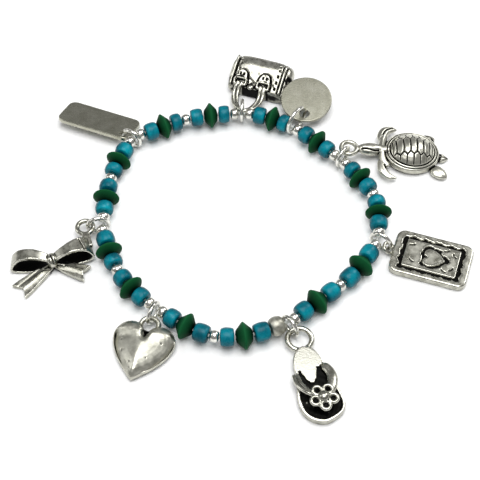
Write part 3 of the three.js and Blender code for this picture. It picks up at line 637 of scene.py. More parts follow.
small_base = turned("small_base", barrel_profile(SPACER_WIDTH, 1.3, 0.8, 2.0), 24)
big_base = turned("big_base", barrel_profile(BIG_SPACER_WIDTH, 2.2, 1.0, 2.0), 28)
spacers = []
for middle, length in spacer_rows:
    shaped = string_frame(place_near(middle)) @ Matrix.Diagonal((length, 1, 1, 1))
    shaped.translation = Vector(middle)
    if length > SPACER:
        matt_spacer = copied(big_base, "matt_silver_spacer")
        shade(matt_spacer, 42)
        lay(matt_spacer, shaped, MATT_SILVER, "polished_silver", "silver_spacers_on_elastic")
    else:
        spacer = copied(small_base, "spacer")
        spacer.data.transform(shaped)
        spacers.append(spacer)
bpy.data.objects.remove(small_base)
bpy.data.objects.remove(big_base)
spacer_set = joined("silver_spacers", spacers)
shade(spacer_set, 42)
lay(spacer_set, Matrix.Identity(4), BRIGHT_SILVER, "polished_silver", "silver_spacers_on_elastic")

elastic = tube("elastic_cord", string_line[::12], ELASTIC, sides=8, closed=True)
shade(elastic)
lay(elastic, Matrix.Identity(4), CLEAR_ELASTIC, "polished_silver", "silver_spacers_on_elastic")


# Jump rings and the way each charm hangs in its own: where the ring grips it, in degrees above
# the ring's outermost point, the way from there to the middle of the charm's loop, and the
# way the charm points, both from the ring's own direction

HANGING = {
    "bar_tag": (-6, 8, 8), "handbag": (-55, -16, -16), "round_tag": (-13, 31, 31), "turtle": (5, 6, -56),
    "card": (-40, 12, 12), "flip_flop": (-58, 0, -21), "heart": (-35, 16, 10), "bow": (-15, -3, 0),
}


def ring_diameter(charm):
    return WIDE_RING_DIAMETER if charm == "round_tag" else RING_DIAMETER


def ring_frame(charm):
    """The ring's middle and its outward direction."""
    spots = vertices_of(f"jump_ring_{charm}")
    middle = spots.mean(0)
    flat = spots[:, :2] - middle[:2]
    _, directions = np.linalg.eigh(flat.T @ flat)
    outward = directions[:, 1]
    return middle, outward if outward @ middle[:2] >= 0 else -outward


def heading_of(outward):
    return Matrix.Rotation(math.atan2(outward[1], outward[0]), 4, "Z")


def grip_place(charm, wire):
    """How far out of the ring's middle a charm's loop is gripped, and how high."""
    centre_line = (ring_diameter(charm) - WIRE) / 2
    inner = centre_line * math.cos(math.pi / 12) - WIRE / 2
    held = centre_line if wire == 0 else inner - wire / 2 - CLEARANCE
    grip = math.radians(HANGING[charm][0])
    return held * math.cos(grip), ring_diameter(charm) / 2 + held * math.sin(grip)


def charm_place(charm, reach, below, hold=0.0, wire=0.0, height=0.0, roll=0.0):
    """Matrix that lays a charm in its ring with its far end on what carries it."""
    middle, outward = ring_frame(charm)
    out, grip_height = grip_place(charm, wire)
    _, hang, turn = [math.radians(value) for value in HANGING[charm]]
    grip = Vector((out, 0, grip_height))
    local = Vector((-hold * math.cos(hang - turn), -hold * math.sin(hang - turn), 0))
    spare = reach - local.x
    pitch = math.asin((grip_height - height) / math.hypot(spare, below)) - math.atan2(below, spare)
    tilt = (Matrix.Rotation(turn, 4, "Z") @ Matrix.Rotation(pitch, 4, "Y")
            @ Matrix.Rotation(roll, 4, "X"))
    ground = Vector((middle[0], middle[1], middle[2] - ring_diameter(charm) / 2))
    return (Matrix.Translation(ground) @ heading_of(outward)
            @ Matrix.Translation(grip - tilt @ local) @ tilt)


def jump_ring(charm):
    diameter = ring_diameter(charm)
    middle, outward = ring_frame(charm)
    piece = ring(f"ring_of_{charm}", diameter, WIRE, upright=True, around=56, sides=16)
    # The ring's cut ends meet at its top
    spots = spots_of(piece)
    seam = np.exp(-((np.arctan2(spots[:, 0], spots[:, 2])) / 0.035) ** 2)
    inward = spots * (1, 0, 1)
    core = inward / np.linalg.norm(inward, axis=1)[:, None] * (diameter - WIRE) / 2
    place_vertices(piece, core + (spots - core) * (1 - 0.12 * seam)[:, None])
    shade(piece)
    place = Matrix.Translation(Vector(middle)) @ heading_of(outward)
    lay(piece, place, BRIGHT_SILVER, "polished_silver", f"jump_ring_{charm}")


for charm in HANGING:
    jump_ring(charm)


# Charms

def rounded_box(x0, x1, y0, y1, corner, steps):
    outline = []
    for x, y, start in ((x1, y1, 0), (x0, y1, 90), (x0, y0, 180), (x1, y0, 270)):
        cx = x - corner if x == x1 else x + corner
        cy = y - corner if y == y1 else y + corner
        for i in range(steps + 1):
            angle = math.radians(start + 90 * i / steps)
            outline.append((cx + corner * math.cos(angle), cy + corner * math.sin(angle)))
    return outline


def bevelled(piece, width):
    add_modifier(piece, "BEVEL", width=width, segments=3, limit_method="ANGLE",
                 angle_limit=SHARP)


def flat_tag(name, outline, thickness, hole, bevel):
    """A tag of sheet silver with a drilled hole at the origin."""
    tag = plate(name, outline, -thickness / 2, thickness / 2)
    bpy.ops.mesh.primitive_cylinder_add(vertices=40, radius=hole / 2, depth=10)
    cut(tag, named("drill"))
    bevelled(tag, bevel)
    shade(tag, 12)
    return tag


def hang_casting(charm, body, finish, height, reach, wire, hold=0.0):
    """Brings the middle of a cast charm's loop to the origin and hangs it in its ring."""
    shade(body)
    body.data.transform(Matrix.Translation((0, 0, -height)))
    place = charm_place(charm, reach, height, hold, wire)
    lay(body, place, finish, "antiqued_silver", f"{charm}_charm")


def bar_tag():
    length, width, thickness, inset = 18.4, 8.5, 1.0, 2.0
    # The two edges by the string stop a little short, beside the spacers
    trim = 0.18
    outline = rounded_box(trim - inset, length - inset, inset - width, inset - trim, 1.8, 8)
    tag = flat_tag("bar_tag", outline, thickness, 1.9, 0.2)
    lean = math.radians(16)
    below = thickness / 2 * math.cos(lean) + (width - inset) * math.sin(lean)
    place = charm_place("bar_tag", length - inset, below, roll=lean)
    lay(tag, place, SHEET_SILVER, "antiqued_silver", "bar_tag_charm")


def round_tag():
    diameter, inset, thickness = 12.0, 2.1, 0.8
    outline = [(diameter / 2 - inset + diameter / 2 * math.cos(a), diameter / 2 * math.sin(a))
               for a in np.arange(72) * TURN / 72]
    tag = flat_tag("round_tag", outline, thickness, 2.2, 0.18)
    # It lies on the handbag's corner
    place = charm_place("round_tag", 6.2, thickness / 2 + 0.3, height=3.33)
    lay(tag, place, SHADED_SHEET_SILVER, "antiqued_silver", "round_tag_charm")


# Handbag rows from its mouth to its base: share of the height, share of the half width, depth
BAG_ROWS = [(0, 0.86, 2.7), (0.03, 0.9, 3.05), (0.08, 0.925, 3.3), (0.35, 0.98, 4.37), (0.6, 1, 5.3),
            (0.7, 1, 5.4), (0.8, 0.99, 5.36), (0.9, 0.95, 5.0), (0.96, 0.87, 4.5), (1, 0.76, 3.9)]
BAG_HEIGHT, BAG_HALF, BAG_SHIFT = 9.3, 7.6, -1.3
MOUTH = 6.1
# Places below the mouth or across the bag: start of the tabs, seams, middles of the straps
TAB = 1.95
SEAMS = {1: BAG_SHIFT + 6.4, -1: BAG_SHIFT - 5.5}
STRAP = 2.8


def bag_top(deep):
    return np.interp(deep / BAG_HEIGHT, [row[0] for row in BAG_ROWS], [row[2] for row in BAG_ROWS])


def on_bag(deep, y, above):
    return (MOUTH + deep, y, bag_top(deep) + above)


def bag_side(side):
    """Half of the handle with its buckle and tab, and the piping beside them."""
    strap = side * STRAP
    pieces = []
    for rib in (-0.45, 0.45):
        path = smooth_path([
            (0.5, side * 1.15 + rib * 0.5, 1.55), (1.5, side * 2.1 + rib * 0.9, 1.6),
            (3.2, side * 2.85 + rib, 1.8), (4.9, side * 3.05 + rib, 2.3),
            (MOUTH - 0.05, side * 2.95 + rib, 3.1),
            on_bag(0.4, strap + rib, 0.2), on_bag(0.8, strap + rib, 0.18)], 28)
        pieces.append(tube("strap_rib", path, 0.92, sides=10))
    buckle = rounded_box(0.35, 1.75, strap - 1.45, strap + 1.45, 0.35, 4)
    pieces.append(tube("buckle", [on_bag(x, y, 0.32) for x, y in buckle], 0.6, sides=8, closed=True))
    # Half-round tab above the buckle, following the bag's face
    tab = plate("tab", [(MOUTH + (TAB + 1.8 * math.sin(a)), strap - 1.35 * math.cos(a))
                        for a in np.linspace(0, math.pi, 15)], -0.6, 0.5)
    spots = spots_of(tab)
    spots[:, 2] += bag_top(spots[:, 0] - MOUTH)
    place_vertices(tab, spots)
    piping = smooth_path([on_bag(x, SEAMS[side], -0.12) for x in (0.3, 2.5, 4.8, 6.6, 7.7)], 20)
    return pieces + [tab, tube("piping", piping, 0.6, sides=8)]


def bag_relief(x, y, z):
    deep = x - MOUTH
    total = 0.0
    for side, seam in SEAMS.items():
        total -= 0.3 * line(y - seam + side * 0.46, 0.14) + 0.2 * line(y - seam - side * 0.45, 0.12)
        # Row of stitch holes inside the seam
        gap = (deep - 0.5) % 1.5 - 0.75
        stitch = step(0.42 - np.abs(gap), 0, 0.15) * step(7.2 - deep, 0, 0.3)
        total -= 0.4 * stitch * line(y - seam + side * 1.2, 0.2)
        # Grooves round the tab and beside the strap, and the two slots in the tab
        off = y - side * STRAP
        reach = np.hypot((deep - TAB) / 1.8, off / 1.35)
        total -= 0.34 * line(reach - 1.2, 0.14) * (deep > TAB - 0.4)
        for slot in (-0.42, 0.42):
            total -= 0.45 * line(off - slot, 0.17) * step(0.42 - np.abs(deep - TAB - 0.75), 0, 0.2)
        total -= 0.4 * step(TAB - 0.2 - deep, 0, 0.3) * line(np.abs(off) - 1.75, 0.2)
    # Folds of the leather between the straps
    total -= 0.16 * line(deep - 1.9 - 0.5 * np.sin(1.7 * y), 0.25) * (np.abs(y) < 1.2)
    return step(deep, 0.15, 0.5) * step(z - 0.62 * bag_top(deep), 0, 0.3) * total


def bag_darkening_and_highlights(x, y, z):
    """Black in the mouth and on the end, a mottled darker face about the straps, and painted highlights: a
    bright streak down the face and one across the end.
    """
    deep = x - MOUTH
    beside = np.abs(np.abs(y) - 2.95) > 0.95
    crescent = step(4.6 - np.abs(y), 0, 1.2) * step(0.5 - deep, 0, 0.3) * step(deep, -0.25, -0.1)
    inside_mouth = crescent * step(2.9 - z, 0, 0.6) * beside
    lip = 0.45 * step(0.9 - deep, 0, 0.5) * step(deep, -0.3, -0.1) * (z < 3.4) * beside
    face_mottle = (np.sin(1.9 * x + 2.1 * np.sin(1.7 * y)) * np.sin(2.3 * y + 0.9)
             + 0.5 * np.sin(4.3 * x - 3.7 * y))
    face = step(deep, 0.3, 1.0) * step(5.2 - deep, 0, 1.6) * (z > 1.5) * (0.38 + 0.38 * face_mottle)
    # Painted highlight: a bright streak down the middle of the face is kept free of the darkening
    face *= (1 - 0.9 * line(y, 1.1) * step(deep, 1.3, 1.8))
    end = step(SEAMS[-1] - 0.5 - y, 0, 0.5) * step(6.2 - deep, 0, 1.5) * step(z, 0.3, 0.8)
    # Painted highlight: a bright streak across the dark end
    end_highlight = line(y - SEAMS[-1] + 1.3 + 0.35 * (deep - 3), 0.4) * step(4.6 - deep, 0, 1)
    return 1.7 * inside_mouth + lip + face + 0.75 * end * (1 - end_highlight)


def handbag():
    shares, halves, tops = np.array(BAG_ROWS).T
    sections = []
    for share in np.concatenate([[0, 0.015, 0.04], np.linspace(0.08, 0.9, 16), [0.94, 0.97, 1]]):
        half = np.interp(share, shares, halves) * BAG_HALF
        top = np.interp(share, shares, tops)
        section = []
        for angle in np.arange(44) * TURN / 44:
            c, s = math.cos(angle), math.sin(angle)
            y = half * abs(c) ** (2 / 4.2) * (1 if c > 0 else -1)
            z = top / 2 * (1 + abs(s) ** (2 / 2.4) * (1 if s > 0 else -1))
            section.append((MOUTH + share * BAG_HEIGHT, y + BAG_SHIFT, z))
        sections.append(np.array(section))
    pieces = [lofted("bag_body", sections), *bag_side(-1), *bag_side(1)]
    apex = smooth_path([(1.5, -2.0, 1.6), (0.45, -0.95, 1.55), (0.02, 0, 1.55), (0.45, 0.95, 1.55),
                        (1.5, 2.0, 1.6)], 16)
    pieces.append(tube("handle_apex", apex, 1.12, sides=12))
    # Small tongue at the lip, between the straps
    pieces.append(ball("tongue", on_bag(0.35, 0.1, 0.0), (1.5, 1.5, 0.9), 20, 12))
    bag = cast("handbag", pieces, 0.105)
    carve(bag, bag_relief)
    patinate_and_paint_light(bag, bag_darkening_and_highlights)
    hang_casting("handbag", bag, CAST_SILVER, 1.55, MOUTH + BAG_HEIGHT, 1.2)


def heart_outline(length, width, count):
    rows = np.array([[0.2, 0], [0.05, 0.2], [0, 0.5], [0.07, 0.82], [0.25, 1], [0.48, 0.91], [0.7, 0.64],
                     [0.88, 0.3], [1, 0]]) * (length, width / 2)
    other = rows[1:-1][::-1] * (1, -1)
    return smooth_path(np.vstack([rows, other]), count, closed=True)


def turtle():
    ring_middle, ring_height = 1.825, 1.35
    front = 8.125
    half_length, half_width = 6.4, 5.7
    middle = front + half_length
    back = front + 2 * half_length
    profile = [(0, 0), (0.91, 0), (0.975, 0.15), (1, 0.55), (0.998, 1.15), (0.98, 1.5), (0.94, 1.66),
               (0.88, 1.78), (0.82, 2.0), (0.76, 2.32), (0.68, 2.8), (0.56, 3.35), (0.44, 3.78),
               (0.3, 4.12), (0.16, 4.32), (0, 4.4)]
    sections = [np.array([(middle + max(share, 0.003) * half_length * math.cos(a),
                           max(share, 0.003) * half_width * math.sin(a), height)
                          for a in np.arange(72) * TURN / 72]) for share, height in profile]
    pieces = [lofted("shell", sections), ring("turtle_ring", 4.7, 1.14, (0, 0, ring_height))]
    head = []
    for share, width, height in ((0, 0.6, 0.6), (0.08, 1.6, 1.3), (0.25, 2.6, 2.2), (0.5, 3.3, 2.7),
                                 (0.72, 3.0, 2.6), (0.9, 2.2, 2.2), (1.0, 1.8, 1.9)):
        x = ring_middle - 0.2 + share * 6
        head.append(np.array([(x, width / 2 * math.cos(a), ring_height + height / 2 * math.sin(a))
                              for a in np.arange(20) * TURN / 20]))
    pieces.append(lofted("head", head))
    neck = [(ring_middle + 4.2, 0, ring_height), (front + 1.2, 0, ring_height)]
    pieces.append(tube("neck", neck, 2.1, sides=14))

    def beside_shell(points, count):
        return smooth_path(np.array(points) + (front, 0, 0), count)

    collar = beside_shell([(0.6, -4.4, 0.9), (-0.45, -2.6, 1.15), (-0.6, 0, 1.45), (-0.35, 2.6, 1.25),
                           (0.3, 4.6, 1.1)], 26)
    pieces.append(tube("collar", collar, 1.55, sides=12))
    near = beside_shell([(0.1, -1.9, 0.85), (-0.6, -3.7, 0.85), (-0.4, -5.6, 0.75), (0.9, -6.95, 0.62),
                         (2.6, -7.35, 0.5)], 24)
    far = beside_shell([(-0.1, 2.0, 1.1), (-0.25, 4.0, 1.15), (0.35, 5.6, 1.1), (1.7, 6.5, 0.95),
                        (3.3, 6.75, 0.75)], 24)
    widths = np.interp(np.linspace(0, 1, 24), [0, 0.25, 0.55, 0.85, 1], [1.5, 2.2, 2.15, 1.4, 0.5])
    for spine, size in ((near, 1.0), (far, 1.15)):
        pieces.append(tube("front_flipper", spine, widths * size, sides=14, flat=0.62))
    for side, along, across, splay in ((-1, 0.68, 0.72, 38), (1, 0.27, 0.55, 22)):
        angle = side * math.radians(splay)
        start = np.array([middle + along * half_length, side * across * half_width, 0.85])
        way = np.array([math.cos(angle), math.sin(angle), 0])
        spine = [start + way * reach for reach in np.linspace(0.1, 4.25, 12)]
        widths = [1.6, 2.5, 3.0, 3.2, 3.25, 3.2, 3.1, 2.9, 2.6, 2.1, 1.4, 0.4]
        pieces.append(tube("hind_flipper", spine, widths, sides=14, flat=0.5))
    spine = [(back - 0.9 + reach, -0.9 - 0.05 * reach, 0.75) for reach in np.linspace(0, 3, 9)]
    widths = [1.2, 1.9, 2.3, 2.4, 2.3, 2.0, 1.5, 0.9, 0.3]
    pieces.append(tube("tail", spine, widths, sides=12, flat=0.62))
    body = cast("turtle", pieces, 0.11, soft=1)

    def reach_on_shell(x, y):
        return np.hypot((x - middle) / half_length, y / half_width)

    def limbs(x, y, z):
        # Long grooves on the flippers, the head and the tail
        arc = np.hypot(x - (front + 3.6), np.abs(y) - 3.0)
        on_flipper = (np.abs(y) > 4.2) * (reach_on_shell(x, y) > 1.03) * (x < front + 2.4)
        head = 0.34 * line(y + 0.75 + 0.2 * np.sin(x * 1.4), 0.2) + 0.2 * line(y - 0.8, 0.15)
        return (-0.3 * line(arc - 3.95, 0.17) * on_flipper - head * (x < front - 1.3) * (x > 2.7)
                - 0.25 * line(y + 1.0, 0.15) * (x > back + 0.2))

    def shell_lines(x, y):
        """0 to 1 on the lines between the plates, and on the two rim lines."""
        along = x - middle
        reach = reach_on_shell(x, y)
        row = (along / 1.52 + 0.5) % 1.0 - 0.5
        point = 1.75 + 0.75 * (0.5 - np.abs(row)) * 2
        in_row = step(point - np.abs(y), 0, 0.14) * (np.abs(along) < 4.2)
        plates = np.maximum(line(np.abs(row) - 0.5, 0.095) * in_row,
                            line(np.abs(y) - point, 0.18) * (np.abs(along) < 4.4))
        plates = np.maximum(plates, 0.9 * line(row, 0.06) * (1 - in_row)) * step(0.79 - reach, 0, 0.03)
        return np.maximum(plates, np.maximum(line(reach - 0.81, 0.022), 0.8 * line(reach - 0.91, 0.016)))

    carve(body, lambda x, y, z: -0.36 * shell_lines(x, y) * (z > 1.2))
    carve(body, limbs)

    def shadows_and_dome_highlight(x, y, z):
        # Black in the lines and grooves, painted shadow where the limbs meet the shell, darker at the foot
        # of the ring, and a painted highlight that lightens the dome inside its rim line
        reach = reach_on_shell(x, y)
        # Painted highlight: the dome inside the rim line is made lighter
        dark = 1.5 * shell_lines(x, y) * (z > 1.2) - 0.12 * (reach < 0.95) * (z > 1.2)
        ring_foot = 0.5 * step(2.3 - x, 0, 0.3) * (z < 0.9)
        # Painted shadow just outside the shell's rim, where the limbs meet it
        return dark + 1.2 * line(reach - 1.05, 0.045) * (z < 1.5) + ring_foot - 3 * limbs(x, y, z)

    patinate_and_paint_light(body, shadows_and_dome_highlight, 1.6)
    hang_casting("turtle", body, LIT_SATIN_SILVER, ring_height, back, 0.95, ring_middle)


def card():
    _, grip_height = grip_place("card", 0.8)
    thickness, bail = 1.7, 1.15
    lean = math.asin((grip_height - thickness / 2) / (2 * bail))
    edge = 2 * bail * math.cos(lean)
    end, half = edge + 17, 5.65
    body = plate("card_body", rounded_box(edge, end, -half, half, 1.9, 8), 0, thickness)
    bevelled(body, 0.35)
    loop = ring("card_bail", 3.1, 0.8, (bail, 0, 0))
    loop.data.transform(Matrix.Translation((0, 0, grip_height)) @ Matrix.Rotation(lean, 4, "Y"))
    body = cast("card", [body, loop], 0.1, soft=1)
    centre = (edge + end) / 2
    outline = heart_outline(4.6, 4.4, 80) + (edge + (17 - 4.6) / 2 + 0.6, 0)

    def box_distance(x, y, half_x, half_y, corner):
        dx = np.abs(x - centre) - half_x + corner
        dy = np.abs(y) - half_y + corner
        return np.hypot(np.maximum(dx, 0), np.maximum(dy, 0)) + np.minimum(np.maximum(dx, dy), 0) - corner

    def relief(x, y, z):
        # A ragged channel round the raised panel, a moat round the heart, and pressed marks
        wave = (0.5 * np.sin(2.3 * x + 1.5 * np.sin(1.6 * y)) + 0.5 * np.sin(2.6 * y + 0.8)
                + 0.3 * np.sin(5.3 * x - 1.1) * np.cos(4.9 * y))
        outer = box_distance(x, y, 6.8, 4.4, 0.7) - 0.26 * wave
        inner = box_distance(x, y, 5.9, 3.6, 0.25)
        channel = step(-outer, -0.02, 0.2) * step(inner, -0.02, 0.1)
        heart = outline_distance(outline, x, y)
        width = 0.62 + 0.3 * wave + 0.25 * step(x - centre, 0, 3)
        moat = step(width - heart, 0, 0.16) * step(heart, 0, 0.1)
        marks = 0.0
        for mark_x, mark_y, turn in ((-4.7, 2.2, 0.3), (-4.2, -1.9, -0.6), (4.6, 1.9, -0.9),
                                     (4.7, -1.8, 0.8), (2.9, 2.7, 0.5), (3.0, -2.6, -0.5)):
            dx, dy = x - centre - mark_x, y - mark_y
            along = dx * math.cos(turn) + dy * math.sin(turn)
            off = -dx * math.sin(turn) + dy * math.cos(turn) - 0.4 * along ** 2
            marks -= 0.32 * line(off, 0.14) * step(0.75 - np.abs(along), 0, 0.2)
        return step(z, thickness - 0.35, thickness - 0.15) * (marks - 0.6 * channel - 0.5 * moat)

    carve(body, relief)

    def in_channel(x, y, z):
        return 0.7 * step(1.4 - z, 0, 0.3) * step(z, 0.7, 0.9) * (box_distance(x, y, 7.3, 4.85, 1) < 0)

    patinate_and_paint_light(body, in_channel)
    hang_casting("card", body, CAST_SILVER, grip_height, end, 0.8)


# Sandal rows from heel to toe: share of the length, shares of the half width to the right and to
# the left, and how far the width has gone from the heel's to the toe's
SOLE_ROWS = [(0, 0.1, 0.1, 0), (0.05, 0.64, 0.64, 0), (0.18, 1, 1, 0), (0.4, 1, 0.97, 0.3),
             (0.62, 0.98, 0.95, 1), (0.8, 1.07, 0.94, 1), (0.93, 0.84, 0.66, 1), (1, 0.24, 0.2, 1)]


def flip_flop():
    ring_middle, thickness, shift, length = 2.6, 1.7, -0.1, 17.2
    heel = ring_middle - 0.5
    half = [(5.8 + share * 3.2) / 2 for *_, share in SOLE_ROWS]
    right = [(heel + row[0] * length, shift + row[1] * h) for row, h in zip(SOLE_ROWS, half)]
    left = [(heel + row[0] * length, shift - row[2] * h) for row, h in zip(SOLE_ROWS, half)]
    outline = smooth_path(right + left[::-1], 90, closed=True)
    sole = plate("sole", outline, 0, thickness)
    bevelled(sole, 0.35)
    post, post_y = heel + 12.9, shift + 0.5
    top = thickness + 1.5
    pieces = [sole, ring("sandal_ring", 6.25, 1.18, (0, 0, thickness / 2))]
    # Doubled strap on one side, broad band on the other
    for rib in (-0.42, 0.42):
        path = smooth_path([(heel + 5.9, shift - 3.2 + rib, 1.3), (heel + 8.4, shift - 3.2 + rib, 2.2),
                            (heel + 10.7, shift - 2.1 + rib * 0.8, 2.9),
                            (post - 0.4, post_y - 0.7 + rib * 0.5, top)], 22)
        pieces.append(tube("strap_rib", path, 0.9, sides=10))
    path = smooth_path([(heel + 5.1, shift + 2.2, 1.0), (heel + 5.9, shift + 3.2, 1.9),
                        (heel + 8.2, shift + 3.7, 2.4), (heel + 10.6, shift + 3.0, 2.8),
                        (post - 0.2, post_y + 1.0, top)], 24)
    widths = np.interp(np.linspace(0, 1, 24), [0, 0.2, 0.6, 1], [1.2, 1.9, 2.2, 1.6])
    pieces.append(tube("strap_band", path, widths, sides=16, flat=0.62))
    toe_post = [(post, post_y, 0.8), (post + 0.01, post_y, top)]
    pieces.append(tube("toe_post", toe_post, 1.3, sides=12, up=(0, 1, 0)))
    # Flower of five ringed petals round a boss
    pieces.append(ball("boss", (post, post_y, top + 0.65), (2.2, 2.2, 1.7)))
    petals = [(post + 1.88 * math.cos(a), post_y + 1.88 * math.sin(a))
              for a in [TURN * (i + 0.92) / 5 for i in range(5)]]
    for x, y in petals:
        pieces.append(ring("petal", 2.5, 0.74, (x, y, top + 0.45), around=28, sides=10))
    pieces.append(ball("flower_base", (post, post_y, top), (4.6, 4.6, 0.6)))
    body = cast("flip_flop", pieces, 0.105, soft=1)

    def footbed(x, y):
        """1 in the footbed, 0 on its rim and on the smooth heel, whose tongue has a ragged edge."""
        rim = -outline_distance(outline, x, y) - 0.55
        tongue = 5.0 + 3.3 * np.exp(-((y - shift + 0.3) / 1.35) ** 4)
        jag = 0.25 * np.sin(4.3 * y) * np.cos(3.1 * x)
        return step(np.minimum(rim, x - heel - tongue + jag), 0, 0.16)

    def relief(x, y, z):
        grain = 0.03 * np.sin(4 * x + 2 * y) * np.sin(5 * y)
        return -(0.6 + grain) * footbed(x, y) * (z < thickness + 0.15)

    carve(body, relief)

    def blackened_and_heel_highlight(x, y, z):
        inside_petals = 0.0
        for petal_x, petal_y in petals:
            away = np.hypot(x - petal_x, y - petal_y)
            inside_petals += step(0.75 - away, 0, 0.15) * (z < top + 0.4) * (z > top - 0.5)
        pressed = footbed(x, y)
        # Painted highlight: the smooth heel's face is kept bright
        heel_highlight = (1 - pressed) * (x < heel + 8.5) * step(z, 1.3, 1.5) * (z < thickness + 0.1)
        mottle = 0.25 * np.sin(3.1 * x + 1) * np.sin(2.7 * y)
        return ((0.75 + mottle) * pressed * step(1.5 - z, 0, 0.3) * step(z, 0.6, 0.8)
                + 1.2 * inside_petals - 1.0 * heel_highlight)

    patinate_and_paint_light(body, blackened_and_heel_highlight)
    hang_casting("flip_flop", body, CAST_SILVER, thickness / 2, heel + length, 1.0, ring_middle)


def heart():
    length, width, thickness, shift, start = 12.9, 13.2, 3.3, -0.1, -0.4
    ring_middle = 1.925
    ring_height = 0.42 * thickness
    outline = heart_outline(length, width, 96) + (start, shift)
    centre = np.array([start + 0.42 * length, shift])
    levels = [(0.84, 0), (0.93, 0.05), (0.98, 0.14), (1, 0.25), (0.995, 0.36), (0.975, 0.47), (0.94, 0.57),
              (0.88, 0.68), (0.79, 0.79), (0.68, 0.87), (0.54, 0.94), (0.38, 0.98), (0.2, 1.0), (0.02, 1.0)]
    sections = [np.array([(*(centre + share * (point - centre)), level * thickness) for point in outline])
                for share, level in levels]
    pieces = [lofted("heart_body", sections), ring("heart_ring", 4.85, 1.08, (0, 0, ring_height))]
    stem = [(ring_middle - 0.1, 0, ring_height), (centre[0], shift, ring_height)]
    pieces.append(tube("heart_stem", stem, 1.25))
    pieces.append(ball("tip", (start + length - 0.35, shift, 0.8), (1.0, 0.9, 0.9), 16, 10))
    body = cast("heart", pieces, 0.115, soft=3)

    def relief(x, y, z):
        # Two slopes that meet in a soft ridge, hollowed at the notch, with a few small pits
        along = x - start
        off = y - shift
        total = -0.24 * (np.sqrt(off ** 2 + 0.25) - 0.5) * step(along, 2.0, 4.5)
        total -= 1.0 * line(off, 0.75) * step(5.2 - along, 0, 2.6) * step(along, 1.9, 2.4)
        total += 0.03 * np.sin(1.3 * x + 0.7) * np.sin(1.1 * y + 0.4)
        for pit_x, pit_y, size in ((7.4, -3.6, 0.26), (9.8, -1.2, 0.16), (5.0, -4.4, 0.14),
                                   (11.0, -0.9, 0.14), (4.2, 3.9, 0.15), (8.2, 1.9, 0.12)):
            total -= 0.16 * line(np.hypot(along - pit_x, off - pit_y), size)
        return total * step(z, 1.3, 2.0)

    carve(body, relief)

    def notch_shadow(x, y, z):
        along = x - start
        round_notch = line(y - shift, 0.8) * step(3.2 - along, 0, 1.0) * step(along, 1.4, 2.0)
        return round_notch * step(z, 0.6, 1.4)

    patinate_and_paint_light(body, notch_shadow, 0.6)
    hang_casting("heart", body, LIT_SATIN_SILVER, ring_height, start + length, 0.95, ring_middle)


